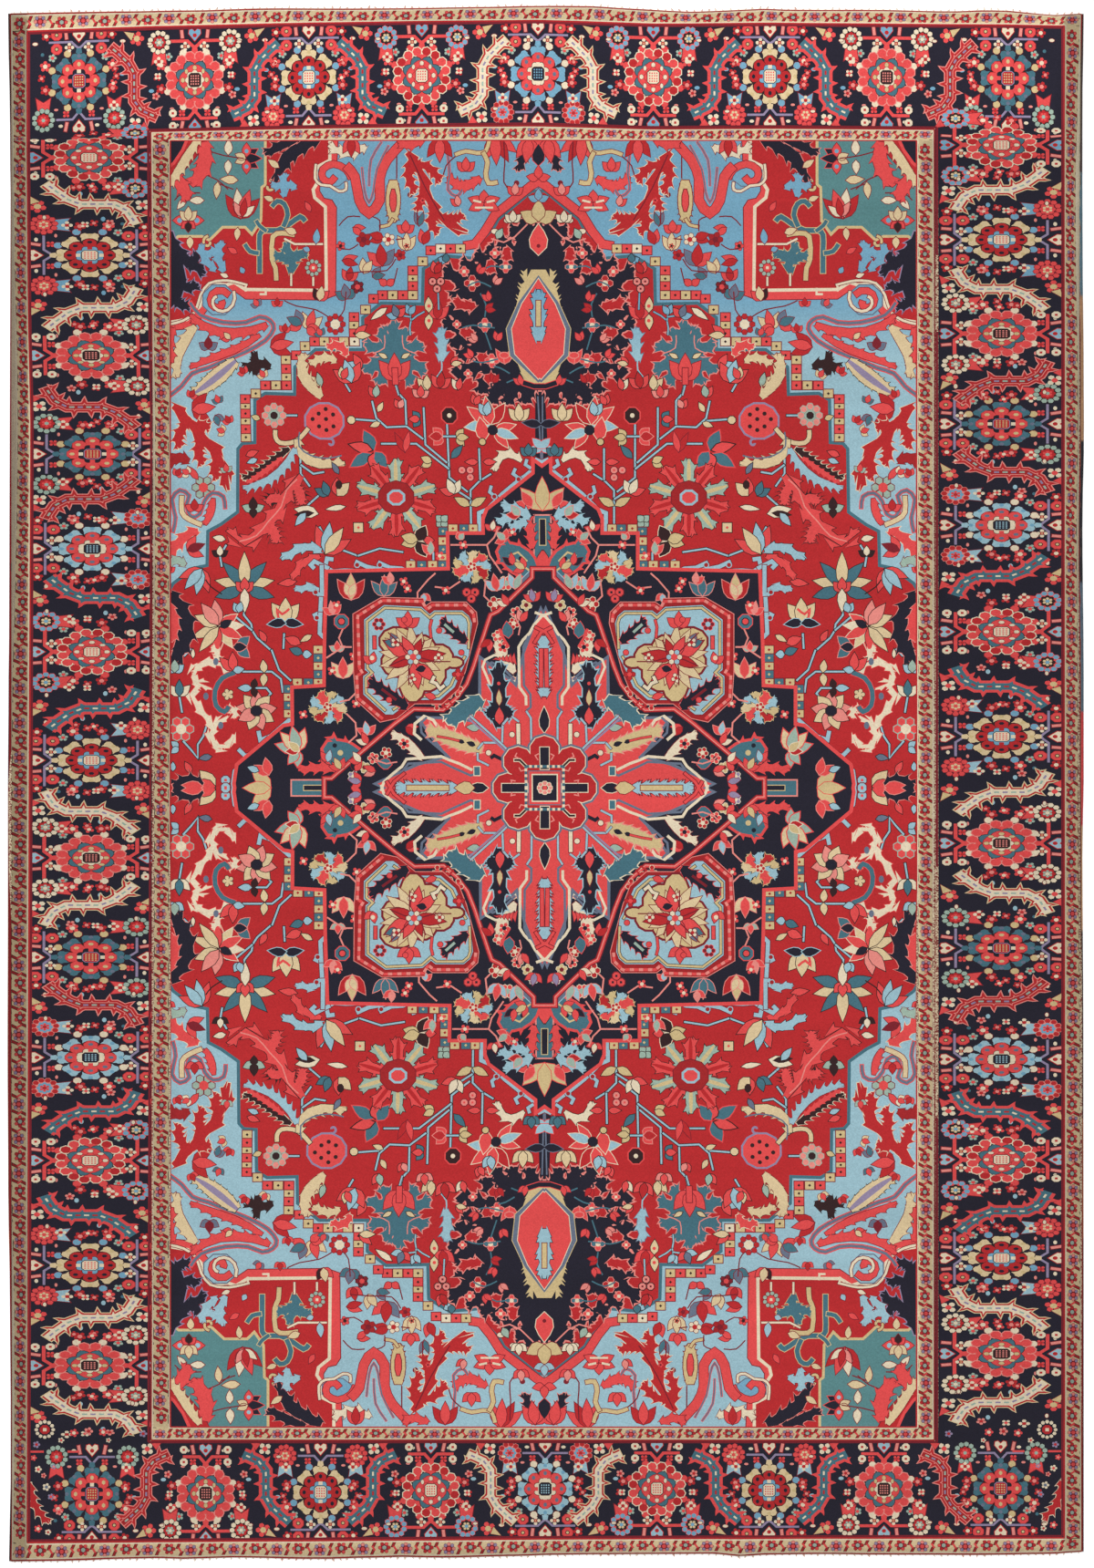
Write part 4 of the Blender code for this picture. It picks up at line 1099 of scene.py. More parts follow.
quarter.petal("navy", 61, -4.5, 0, 24, 11, edge="ivory")
quarter.petal("sand", 76, -4.5, 0, 22, 14, edge="maroon")
quarter.dots("coral", 2, 47.5, 110)
quarter.trail("coral", 2, 92, 47, 104, 50, 116, 52, edge="maroon", line=0.6)
for x, y in ((93, 102), (105, 94), (116, 87)):
    quarter.bloom(x, y, 6, 3, "madder", "coral", "ivory", 0.6, turn=0.5)
quarter.trail("madder", 2, 98, 86, 104, 92, 110, 86, 104, 82, 100, 86)
for path in ((13, 47, 13, 72, 18, 80), (45, 45, 44, 65), (48, 45, 66, 45), (38, 36, 46, 44, 80, 75),
             (66, 45, 72, 38), (44, 65, 38, 72), (26, 68, 34, 74), (60, 20, 72, 26, 72, 34)):
    quarter.trail("sky", 2.2, *path, edge="maroon", line=0.6)
quarter.trail("lilac", 2, 42, 36, 50, 44, 82, 72)
quarter.trail("ivory", 4, 27, 42, 27, 66, edge="maroon")
quarter.trail("navy", 4, 44, 26, 54, 31, 58, 28)
quarter.dots("ivory", 3, 34, 54, 60, 34, edge="maroon", line=0.8)

# Light blue cartouches in the four corners of the medallion
quarter.shape("brick", 70, 176, 71, 188, 82, 199, 120, 199, 127, 194, 129, 203, 175, 204, 206, 186, 206, 156,
              206, 122, 204, 92, 178, 68, 160, 72, 140, 88, 110, 88, 92, 104, 84, 124, edge="pink", line=0.8)
border = ring(73, 177, 74, 187, 83, 196, 119, 196, 125, 191, 130, 200, 174, 201, 201, 184, 200, 127, 197,
              122, 203, 118, 202, 94, 175, 71)
for k, ((x, y), way) in enumerate(zip(*along_path(border, (np.arange(56) + 0.5) / 56))):
    quarter.outline(ring(-2.4, -1.6, 2.4, -1.6, 2.4, 1.6, -2.4, 1.6) @ np.array(
        ((way[1], -way[0]), (way[0], way[1]))) + (x, y), "coral" if k % 2 else "pink")
quarter.shape("sky", 76, 176, 79, 184, 86, 190, 117, 190, 122, 186, 131, 194, 172, 196, 194, 180, 194, 125,
              190, 122, 196, 118, 196, 98, 172, 76, 164, 76, 142, 92, 112, 92, 96, 106, 88, 124, 80, 140,
              edge="maroon", line=0.8)
quarter.trail("sand", 2.4, 80, 148, 79, 176, 81, 182, 87, 187, 116, 187, 122, 182, 132, 191, 171, 193, 191,
              178, 191, 127, 186, 122, 193, 116, 193, 100, 172, 80, edge="soot", line=0.7)
quarter.trail("sand", 2.4, 84, 140, 92, 126, 100, 108, 114, 96, 142, 96, 164, 81, edge="soot", line=0.7)
for grow, dye in ((2.6, "maroon"), (0.0, "sand")):
    for x, y, across, along in ((112, 138, 14, 14), (131, 149, 14, 13), (157, 156, 20, 15),
                                (158, 133, 17, 15), (142, 112, 14, 22), (128, 122, 22, 20), (96, 133, 9, 5)):
        quarter.outline(disc(x, y, across + grow, along + grow, 12), dye)
for turn in range(12, 360, 24):
    quarter.petal("straw", 140, 137, turn, 30 if 100 < turn < 300 else 38, 12, edge="maroon")
for place in ((140, 138, 172, 34, 13), (141, 136, 112, 24, 10), (142, 139, 30, 36, 15),
              (140, 134, 262, 30, 13), (142, 138, -20, 26, 11), (140, 138, 62, 26, 11),
              (138, 132, 222, 30, 12)):
    quarter.petal("coral" if int(place[2]) % 4 else "madder", *place, edge="maroon", line=1.0)
quarter.petals(158, 152, 40, 44, 15, 9, "teal", "slate", edge="maroon")
for x, y, turn in ((113, 138, 0), (143, 116, 0.4), (160, 155, 0.8)):
    quarter.bloom(x, y, 5, 4, "ivory", "madder", "maroon", 0.6, turn=turn)
quarter.petal("navy", 127, 127, -10, 12, 8, edge="coral")
quarter.petals(146, 172, 90, 52, 17, 10, "coral", "coral", "coral", edge="maroon")
quarter.petals(186, 132, 70, 60, 13, 8, "coral", "coral", edge="maroon")
quarter.petal("coral", 117, 94, 20, 13, 7, edge="maroon")
quarter.trail("maroon", 1.4, 100, 134, 118, 134, 132, 138, 141, 139, 146, 128, 146, 108)
quarter.trail("maroon", 1.4, 141, 139, 152, 150, 168, 166)
quarter.trail("maroon", 1.4, 141, 139, 132, 146, 128, 158)
quarter.trail("maroon", 1.4, 141, 139, 152, 136, 166, 130)
quarter.bloom(141, 139, 9, 6, "ivory", "coral", "maroon", 0.8, other="sky")
quarter.frond("navy", 5, 6, 4, 82, 156, 90, 162, 100, 170, 110, 180, edge="coral")
quarter.trail("sage", 3, 96, 166, 106, 175)
quarter.frond("navy", 6, 7, 5, 148, 84, 160, 92, 172, 100, 190, 114, edge="coral")
quarter.trail("maroon", 3, 160, 92, 176, 104)
quarter.trail("ivory", 3.4, 107, 108, 112, 104, 116, 110, 121, 112, 118, 118, edge="soot")
quarter.bloom(92, 120, 6, 4, "madder", "coral", "maroon", 0.7)
quarter.bloom(178, 175, 7, 6, "maroon", "sky", "coral", 0.8)
quarter.trail("coral", 3.4, 183, 148, 183, 162, edge="maroon")
quarter.dots("ivory", 2.6, 186, 138)
quarter.trail("coral", 2.4, 121, 160, 122, 172, 120, 180, edge="maroon", line=0.7)
quarter.dots("coral", 3, 112, 168, 88, 144, 168, 92, 150, 180, edge="maroon", line=0.7)

# Rosette in the middle
for line, dye in ((3.2, "slate"), (1.0, "ivory"), (0.0, "madder")):
    for turn in np.radians(45 * np.arange(8)):
        quarter.outline(disc(-1 + 41 * np.cos(turn), -4.5 + 41 * np.sin(turn), 16 + line, sides=10), dye)
quarter.outline(disc(-1, -4.5, 40, sides=12), "madder")
quarter.trail("navy", 9, -1, 16, -1, 40, edge="ivory")
quarter.trail("navy", 9, 18, -4.5, 46, -4.5, edge="ivory")
quarter.tiles("coral", 17, 18, -1, -4.5, edge="slate")
quarter.tiles("navy", 13, 14, -1, -4.5, edge="ivory", line=1.4)
quarter.trail("soot", 2.2, 18, 18, 26, 26, 32, 26, edge="ivory")
quarter.trail("pink", 1.3, 6, 26, 9, 31, 5, 33)
quarter.trail("pink", 1.3, 27, 18, 25, 14, 21, 15)
quarter.trail("pink", 1.3, 31, 3, 36, 4, 35, 0)
quarter.trail("pink", 1.3, 27, 28, 31, 30, 29, 34)
for k in range(9):
    for x, y in ((19.5, -4 + 3.2 * k), (-3 + 2.9 * k, 16 + 3.0)):
        if x < 20 and y < 20:
            quarter.tiles("teal" if k % 2 else "ivory", 1.5, 1.5, x, y)
for x, y in ((-0.5, 0.5), (5, -5), (3.6, -1)):
    quarter.dots("pink", 2.0, x, y, edge="ivory", line=0.8)
quarter.dots("coral", 2, -0.5, -5)

FIELD_HALF = (408.5, 702.5)


def field_place(points):
    """Where the weaver set a point of the true quarter: the middle line leans and the rows drift."""
    x, y = points[:, 0], points[:, 1]
    lean = np.interp(y, (-500, 0, 345, 500), (1.0, 1.5, -1.5, -5.5))
    return np.stack((x - 2.5 + (1 - (x / FIELD_HALF[0]) ** 2) * lean,
                     y + 2.5 - 7 * (1 - (y / FIELD_HALF[1]) ** 2)), 1)


def mirrored(drawing):
    """Each outline of the quarter in all four quarters of the field."""
    laid = []
    for points, dye in drawing.laid:
        true = points - (field_place(points) - points)
        laid += [(field_place(true * (across, along)), dye) for across in (1, -1) for along in (1, -1)]
    return laid


# Nudges in knots that the borders take from the worn, wandering sides: at each place, how far
FAR_SWAY = np.array(((-590, -13), (-512, -10), (-430, -7), (-385, -6), (-260, -3), (-136, -1), (-8, 0),
                     (118, -4), (246, -3), (374, -4), (507, -5), (590, -6)))
NEAR_SWAY = np.array(((-590, 2), (590, 2)))
NEAR_LINE = np.array(((-590, 3), (-300, 5), (0, 7), (300, 8), (590, 8)))
LEFT_SWAY = np.array(((-860, 0), (400, 4), (440, 3), (500, 1.5), (560, 1), (700, 0), (860, 0)))
RIGHT_SWAY = np.array(((-860, 0), (860, 0)))
EDGE = (590.0, 856.0)
GUARD = (568.0, 836.5)


def rug_place(points):
    """A point counted in knots, in metres on the rug: the borders sway with the sides, and the outer guard
    is squeezed or spread so that it always ends at the body's edge."""
    x, y = points[:, 0], points[:, 1]
    border_x = np.clip((np.abs(x) - 411) / 30, 0, 1)
    border_y = np.clip((np.abs(y) - 705) / 18, 0, 1)
    side = np.where(x < 0, np.interp(y, *LEFT_SWAY.T), np.interp(y, *RIGHT_SWAY.T)) * border_x
    squeeze = np.interp(x, *NEAR_LINE.T) * np.clip((-723 - y) / 113, 0, 1)
    end = np.where(y < 0, np.interp(x, *NEAR_SWAY.T) + squeeze, np.interp(x, *FAR_SWAY.T)) * border_y
    x1, y1 = (x + side) * KNOT, (y + end) * KNOT
    left, right = sides_at(y1)
    near, far = ends_at(x1)
    share = np.clip((np.abs(x) - GUARD[0]) / (EDGE[0] - GUARD[0]), 0, 1)
    line = np.where(x < 0, -GUARD[0], GUARD[0]) * KNOT + side * KNOT
    x2 = np.where(share > 0, line + (np.where(x < 0, left, right) - line) * share, x1)
    share = np.clip((np.abs(y) - GUARD[1]) / (EDGE[1] - GUARD[1]), 0, 1)
    line = np.where(y < 0, -GUARD[1], GUARD[1]) * KNOT + end * KNOT
    y2 = np.where(share > 0, line + (np.where(y < 0, near, far) - line) * share, y1)
    return x2, y2


def seams(points, triangles, kinds, longest=24.0, off_line=0.03):
    """Links between the corners where the dye changes or the piece ends. A corner in a straight run of
    such links is left out while the run stays short enough to bend with the rug."""
    pairs = np.sort(np.concatenate([triangles[:, (k, (k + 1) % 3)] for k in range(3)]), 1)
    order = np.lexsort((pairs[:, 1], pairs[:, 0]))
    pairs, dyes = pairs[order], np.tile(kinds, 3)[order]
    doubled = np.all(pairs[1:] == pairs[:-1], 1)
    kept = np.ones(len(pairs), bool)
    kept[1:][doubled] = False
    kept[:-1][doubled & (dyes[1:] == dyes[:-1])] = False
    inner = np.zeros(len(pairs), bool)
    inner[:-1] |= doubled
    rim = set(pairs[kept & ~inner].ravel().tolist())
    links = {}
    for a, b in pairs[kept].tolist():
        links.setdefault(a, set()).add(b)
        links.setdefault(b, set()).add(a)
    for corner in [corner for corner in links if len(links[corner]) == 2 and corner not in rim]:
        a, b = links[corner]
        along, off = points[b] - points[a], points[corner] - points[a]
        length = np.hypot(*along)
        aside = abs(along[0] * off[1] - along[1] * off[0])
        if length < longest and b not in links[a] and aside < off_line * length:
            links[a] = links[a] - {corner} | {b}
            links[b] = links[b] - {corner} | {a}
            del links[corner]
    return links


def within(outline, spots):
    """Whether each spot lies inside an outline that may cross itself, by counting the sides to its right."""
    a, b = outline, np.roll(outline, -1, 0)
    x, y = spots[:, :1], spots[:, 1:]
    level = (a[:, 1] > y) != (b[:, 1] > y)
    across = a[:, 0] + (y - a[:, 1]) / (b[:, 1] - a[:, 1] + 1e-12) * (b[:, 0] - a[:, 0])
    return np.sum(level & (x < across), 1) % 2 == 1


def pile_region(name, ground, base, laid, step=16.0):
    """Pile of one region as a flat mesh on the face. Its outlines are cut against each other, and each small
    face takes the dye of the last outline laid over it, or the ground's base dye. Then the seams between the
    dyes are cut once more on their own, which leaves out what lies hidden under later outlines."""
    low, high = ground.min(0), ground.max(0)
    spots = [np.linspace(low[k], high[k], int(np.ceil((high[k] - low[k]) / step)) + 1) for k in (0, 1)]
    inner = np.stack(np.meshgrid(spots[0], spots[1]), -1).reshape(-1, 2)
    outlines = [(anticlockwise(ground), base)]
    outlines += [(anticlockwise(points), dye) for points, dye in laid
                 if np.all(points.min(0) < high) and np.all(points.max(0) > low)]
    sizes = np.array([len(points) for points, dye in outlines])
    ends = np.cumsum(sizes)
    rim = inner[np.any((inner == low) | (inner == high), 1)]
    corners = np.concatenate([points for points, dye in outlines] + [rim])
    faces = [list(range(end - size, end)) for end, size in zip(ends, sizes)]
    cut = delaunay_2d_cdt([tuple(corner) for corner in corners.tolist()], [], faces, 0, 1e-6, True)
    points = np.array([tuple(corner) for corner in cut[0]])
    inside = [(face, parents) for face, parents in zip(cut[2], cut[5]) if parents and min(parents) == 0]
    triangles = np.array([face for face, parents in inside])
    middles = points[triangles].mean(1)
    laid_on = [set(parents) for face, parents in inside]
    boxes = np.array([(points.min(0) - 0.01, points.max(0) + 0.01) for points, dye in outlines])
    while True:
        top = np.array([max(parents) for parents in laid_on])
        spilt = np.any((middles < boxes[top, 0]) | (middles > boxes[top, 1]), 1)
        if not spilt.any():
            break
        for crossed in set(top[spilt].tolist()):
            for parents, covered in zip(laid_on, within(outlines[crossed][0], middles)):
                if not covered:
                    parents.discard(crossed)
    dyes = [dye for kept, dye in outlines]
    kinds = np.array([list(DYES).index(dyes[kind]) for kind in top])
    links = seams(points, triangles, kinds)
    number = {corner: k for k, corner in enumerate(links)}
    edges = [(number[a], number[b]) for a in links for b in links[a] if a < b]
    corners = np.concatenate((points[list(links)], inner))
    cut = delaunay_2d_cdt([tuple(corner) for corner in corners.tolist()], edges, [], 0, 1e-6, False)
    old = BVHTree.FromPolygons(np.pad(points, ((0, 0), (0, 1))).tolist(), triangles.tolist(),
                               all_triangles=True)
    points, triangles = np.array([tuple(corner) for corner in cut[0]]), np.array(cut[2])
    middles = np.pad(points[triangles].mean(1), ((0, 0), (0, 1)))
    found = [old.find_nearest(middle, 0.05)[2] for middle in middles.tolist()]
    under = np.array([-1 if face is None else face for face in found])
    triangles, kinds = triangles[under >= 0], kinds[under[under >= 0]]
    spread = points[triangles]
    sides = np.roll(spread, -1, 1) - spread
    twice = np.abs(sides[:, 0, 0] * sides[:, 1, 1] - sides[:, 0, 1] * sides[:, 1, 0])
    solid = twice > 0.01 * np.hypot(sides[..., 0], sides[..., 1]).max(1)
    triangles, kinds = triangles[solid], kinds[solid]
    used, flat = np.unique(triangles, return_inverse=True)
    x, y = rug_place(points[used])
    piece = new_mesh(name, np.stack((x, y, face_height(x, y)), 1), flat.reshape(-1, 3))
    dye_colours(piece, kinds)
    return piece


# How much each band's colour is darkened or lightened, as a factor, by place in knots across and along the
# rug
SIDE_BRIGHTNESS = np.array(((-568.5, 0.42), (-567.5, 0.77), (-431.5, 0.77), (-430.5, 0.62), (-411.5, 0.62),
                      (-410.5, 0.91), (410.5, 0.91), (411.5, 0.66), (430.5, 0.66), (431.5, 0.77),
                      (567.5, 0.77), (568.5, 0.54)))
END_BRIGHTNESS = np.array(((-837, 0.66), (-836, 0.78), (-724, 0.78), (-723, 0.72), (-705.5, 0.72), (-704.5, 0.91),
                     (704.5, 0.91), (705.5, 0.9), (723, 0.9), (724, 1.1), (836, 1.1), (837, 0.88)))
DUST, HAZE = (138, 112, 112), 0.05


def dye_colours(piece, kinds):
    """Each face's dye as a colour on its corners, hazed by dust and dimmed band by band. The blue was dyed
    in two lots, stronger at the far end."""
    mesh = piece.data
    table = np.array([linear(colour) for colour in DYES.values()])
    colours = np.repeat(table[kinds], 3, 0)
    place = np.empty(len(mesh.vertices) * 3, np.float32)
    mesh.vertices.foreach_get("co", place)
    corner = np.empty(len(mesh.loops), np.int32)
    mesh.loops.foreach_get("vertex_index", corner)
    y = place.reshape(-1, 3)[corner, 1] / KNOT
    names = list(DYES)
    blue = np.clip((y - 470) / 60, 0, 1)[:, None] * (np.repeat(kinds, 3) == names.index("sky"))[:, None]
    colours = colours + (table[names.index("blue")] - colours) * blue
    x = place.reshape(-1, 3)[corner, 0] / KNOT
    across, along = (np.interp(spot, *band.T) for spot, band in ((x, SIDE_BRIGHTNESS), (y, END_BRIGHTNESS)))
    # Brightness factor band by band: darkens most bands, the outer guards most, and lightens the far border
    # a little
    band_brightness = np.where((np.abs(y) < 705) | (np.abs(x) > 568), across, along)[:, None]
    colours[:, :3] = (colours + (np.array(linear(DUST)) - colours) * HAZE)[:, :3] * band_brightness
    layer = mesh.color_attributes.new("dye", "FLOAT_COLOR", "CORNER")
    layer.data.foreach_set("color", colours.ravel())


def wool_finish():
    """Dyed wool: each knot a little lighter or darker, rows dyed in lots along X, patches of wear, and
    the knots standing as a fine grain."""
    wiring = Wiring("pile_wool")
    dye = wiring.node("Attribute", {"attribute_name": "dye"}, {})
    dye = Link(wiring, dye.outputs["Color"])
    lots = wiring.noise((0.15, 9.0, 0.0), 3.0, 0.6)
    wear = wiring.noise((3.0, 3.0, 0.0), 4.0, 0.6)
    grain = wiring.knots(KNOT)
    fluff = wiring.noise((300.0, 420.0, 0.0), 2.0)
    amount = lots * 0.30 + wear * 0.22 + grain * 0.22 + fluff * 0.16 + 0.55
    wiring.fill(wiring.shader, {
        "Base Color": wiring.shade(dye, amount), "Roughness": 0.92,
        "Normal": wiring.bump(grain * 0.5 + fluff, 0.8 * MM, 0.5)})
    wiring.shader.inputs["Sheen Weight"].default_value = 0.08
    wiring.shader.inputs["Specular IOR Level"].default_value = 0.15
    return wiring.material


WOOL = wool_finish()


def finish_pile(piece):
    """The wool, its own flat picture map, and the body it rides."""
    mesh = piece.data
    mesh.materials.append(WOOL)
    place = np.empty(len(mesh.vertices) * 3, np.float32)
    mesh.vertices.foreach_get("co", place)
    corner = np.empty(len(mesh.loops), np.int32)
    mesh.loops.foreach_get("vertex_index", corner)
    flat = place.reshape(-1, 3)[:, :2]
    low, size = flat.min(0), np.ptp(flat, axis=0).max()
    layer = mesh.uv_layers.new(name="OFBake")
    layer.data.foreach_set("uv", ((flat[corner] - low) / size * 0.98 + 0.01).ravel())
    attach(piece, "root")


for half, low, high in (("far", -4.5, 705), ("near", -705, -4.5)):
    finish_pile(pile_region("pile_field_" + half, ring(-411, low, 406, low, 406, high, -411, high), "madder",
                            mirrored(quarter)))

# Pile of the main border.
# The same wool on navy. Five rosettes with their brackets, baskets and toothed leaves come round in turn:
# upright along the ends, lying and stretched along the sides, a little different each time.
LEAF_PATH = (-29, 38, -20, 30, -9, 19, -3, 8, -3, -22, 5, -33, 22, -41)


def leaf_parts(half, reach, base, teeth=7):
    """A leaf's body as a strip along its path, and on each side curved teeth that lean to the nearer end."""
    path = ring(*LEAF_PATH)
    parts = [strip(path, 2 * half)]
    for side in (1, -1):
        feet, ways = along_path(path, (np.arange(teeth) + (0.75 if side > 0 else 0.35)) / teeth)
        for k, (foot, way) in enumerate(zip(feet, ways)):
            ahead, out = np.array((way[1], -way[0])), way * side
            lean = (0.45 - k / teeth) * 1.1 * reach
            parts.append(np.array([
                foot + out * (half * 0.7 + reach * high) + ahead * (base * along - lean * high ** 2)
                for along, high in ((1.0, 0.0), (0.45, 0.3), (0.22, 0.7), (0.0, 1.0), (-0.18, 0.6),
                                    (-0.4, 0.2), (-1.0, 0.0))]))
    return parts


def scalloped(size, lobes, depth, tall=1.0, turn=0.0):
    """A round outline whose edge goes out and in again once for each lobe."""
    angle = 2 * np.pi * np.arange(lobes * 6) / (lobes * 6)
    reach = size * (1 - depth * (1 - np.abs(np.cos(lobes * (angle - turn) / 2))))
    return np.stack((reach * np.cos(angle), reach * tall * np.sin(angle)), 1)


# Lobes round the edge, their two dyes, rim, band, petals, eyes, inner ring, basket and its dots
ROSETTES = {
    "A": (8, "teal", "slate", "soot", None, "coral", "sand", "navy", "madder", "sand"),
    "B": (16, "coral", "coral", "pink", "teal", "coral", "sand", "ivory", "soot", "pink"),
    "C": (8, "straw", "sand", "soot", None, "madder", "navy", "blue", "ivory", "coral"),
    "D": (16, "coral", "madder", "ivory", "teal", "coral", "ivory", "coral", "ivory", "coral"),
    "E": (8, "sky", "blue", "soot", None, "coral", "slate", "ivory", "navy", "sky")}


def rosette(kind):
    """A rosette: lobes, then a ring of petals with eyes or a band and drops, an inner ring and a basket."""
    lobes, first, second, rim, band, petal, eye, inner, basket, dots = ROSETTES[kind]
    drawing = Drawing()
    for way in (1, -1):
        drawing.shape(first, -4, way * 28, 4, way * 28, 2.6, way * 36, -2.6, way * 36)
    for k in range(lobes):
        a = 2 * np.pi * (k + (0.5 if lobes == 16 else 0)) / lobes
        if lobes == 8:
            for lean in (-0.17, 0.17):
                drawing.outline(disc(26.5 * np.cos(a + lean), 26.5 * np.sin(a + lean), 4.2, sides=7), first,
                                rim, 0.8)
            drawing.outline(disc(22 * np.cos(a), 22 * np.sin(a), 8), first)
            drawing.dots(second, 2.2, 27.5 * np.cos(a), 27.5 * np.sin(a))
        else:
            drawing.outline(disc(26.5 * np.cos(a), 26.5 * np.sin(a), 5.0, sides=7),
                            second if k // 2 % 2 else first, rim, 1.0)
    around = np.pi * np.arange(8) / 4
    drawing.outline(scalloped(23.4, 8, 0.12), first if band else "soot")
    if band:
        drawing.outline(scalloped(21.5, 8, 0.22, turn=np.pi / 8), band, "soot", 0.7)
        drawing.outline(scalloped(17.0, 4, 0.16), petal, "maroon", 0.6)
        for k, a in enumerate(around):
            drawing.outline(disc(13 * np.cos(a), 13.5 * np.sin(a), 1.8 if k % 2 else 2.3, 2.8, 6), eye,
                            "maroon", 0.4)
        drawing.outline(scalloped(10.5, 8, 0.2, 1.05), inner, "maroon", 0.4)
    else:
        for a in around:
            drawing.outline(disc(16.4 * np.cos(a), 16.8 * np.sin(a), 6.6), petal,
                            "madder" if petal == "coral" else "soot", 0.5)
        drawing.outline(scalloped(16, 8, 0.1), petal)
        for a in around:
            drawing.outline(disc(18 * np.cos(a), 18.4 * np.sin(a), 2.1, 2.6, sides=6), eye)
        drawing.outline(scalloped(12.4, 8, 0.26, 1.05, np.pi / 8), inner, "soot", 0.6)
        drawing.tiles("ivory", 2.2, 2.0, 0, 10.5, 0, -10.5)
        drawing.tiles(petal, 2.0, 2.2, 9.8, 0, -9.8, 0)
    drawing.shape(basket, -6.2, -5, -4, -7, 4, -7, 6.2, -5, 6.2, 5, 4, 7, -4, 7, -6.2, 5,
                  edge="lilac" if kind == "A" else "soot", line=0.8)
    for x in (-3.9, -1.3, 1.3, 3.9):
        for y in (-4.4, -1.5, 1.5, 4.4):
            drawing.tiles(dots, 0.7, 0.8, x, y)
    return drawing


def border_rest(kind):
    """What stands round a rosette: its two brackets, hearts, ringed flowers, squares and florets."""
    drawing = Drawing()
    line, wide = ("lilac", 2.4) if kind in "ACE" else ("coral", 3.4)
    for side in (1, -1):
        drawing.trail(line, wide, side * 33, 43, side * 8, 43, side * 3, 38, 0, 36, 0, 31)
        drawing.trail(line, wide, side * 25, -42, side * 7, -42, side * 2, -36, 0, -34)
        drawing.trail("pink", 3.2, side * 13.5, 46, side * 14.5, 55, edge="maroon")
        drawing.trail("pink", 3.2, side * 13, -45, side * 15, -55, edge="maroon")
        for x, y in ((29.5, 12), (29.5, -12), (12.5, 30), (12.5, -29)):
            drawing.dots({"A": "sand", "B": "ivory", "C": "blue", "D": "coral", "E": "ivory"}[kind], 4.0,
                         side * x, y, edge="maroon", line=0.6)
        drawing.bloom(side * 10.5, 37, 5, 4, "ivory", "madder", core="sand")
        drawing.bloom(side * 29, 26, 4.6, 5, "sage", "coral")
        drawing.bloom(side * 37, 17, 6, 5, "coral", "ivory", turn=0.3)
        drawing.bloom(side * 41, 4, 4.4, 4, "madder", "pink", turn=0.6)
        drawing.bloom(side * 37, -9, 5.6, 5, "madder", "pink")
        drawing.bloom(side * 14, -36, 4, 4, "coral", "madder", turn=0.8)
        drawing.dots("ivory", 3, side * 48, 42, tall=0.6, edge="maroon", line=0.6)
        drawing.dots("pink", 2.4, side * 25, -31, tall=0.6)
        drawing.dots("ivory", 2.6, side * 20, -49, tall=0.7)
        drawing.dots("teal", 2, side * 40, 30)
        if kind in "ACE":
            for y in (51, 35.5):
                drawing.dots("coral", 6, side * 24.5, y, edge="madder", line=0.6)
                drawing.dots("sand", 1.6, side * 24.5, y, edge="soot", line=0.8)
            drawing.bloom(side * 36, 50, 5.4, 5, "madder", "ivory")
        else:
            for x, y in ((24, -36), (24, -50)):
                drawing.dots("ivory", 4.6, side * x, y, heart="madder", edge="soot", line=0.5)
            drawing.trail("ivory", 1.6, side * 16, 30, side * 16, 25)
        up = -1 if kind in "ACE" else 1
        flower = {"A": ("sage", "madder", "coral", "soot"), "B": ("ivory", "madder", "sage", "soot"),
                  "C": ("coral", "coral", "straw", "maroon"), "D": ("blue", "soot", "straw", "coral"),
                  "E": ("madder", "blue", "coral", "pink")}[kind]
        ribbon = "sky" if kind in "CE" else "coral"
        drawing.shape(ribbon, side * 39 - 6, up * 32, side * 39 - 8, up * 18, side * 39, up * 23,
                      side * 39 + 8, up * 18, side * 39 + 6, up * 32, edge="maroon", line=0.8)
        drawing.outline(disc(side * 39, up * 42, 9), flower[3])
        for a in 2 * np.pi * np.arange(11) / 11:
            drawing.outline(disc(side * 39 + 10 * np.cos(a), up * 42 + 10.5 * np.sin(a), 2.9, sides=6),
                            flower[0], flower[3], 0.5)
        drawing.outline(scalloped(7.5, 8, 0.2) + (side * 39, up * 42), flower[1])
        drawing.bloom(side * 39, up * 42, 5, 6, flower[2], flower[0])
    for y, way in ((50, 1), (-50, -1)):
        drawing.shape("ivory" if kind in "ACE" else "sky", 0, y - 7 * way, 6.5, y + 1 * way, 6, y + 5 * way,
                      3, y + 6 * way, 0, y + 3 * way, -3, y + 6 * way, -6, y + 5 * way, -6.5, y + way,
                      edge="madder", line=0.9)
        drawing.dots("madder", 2.4, 0, y - 1 * way)
    return drawing


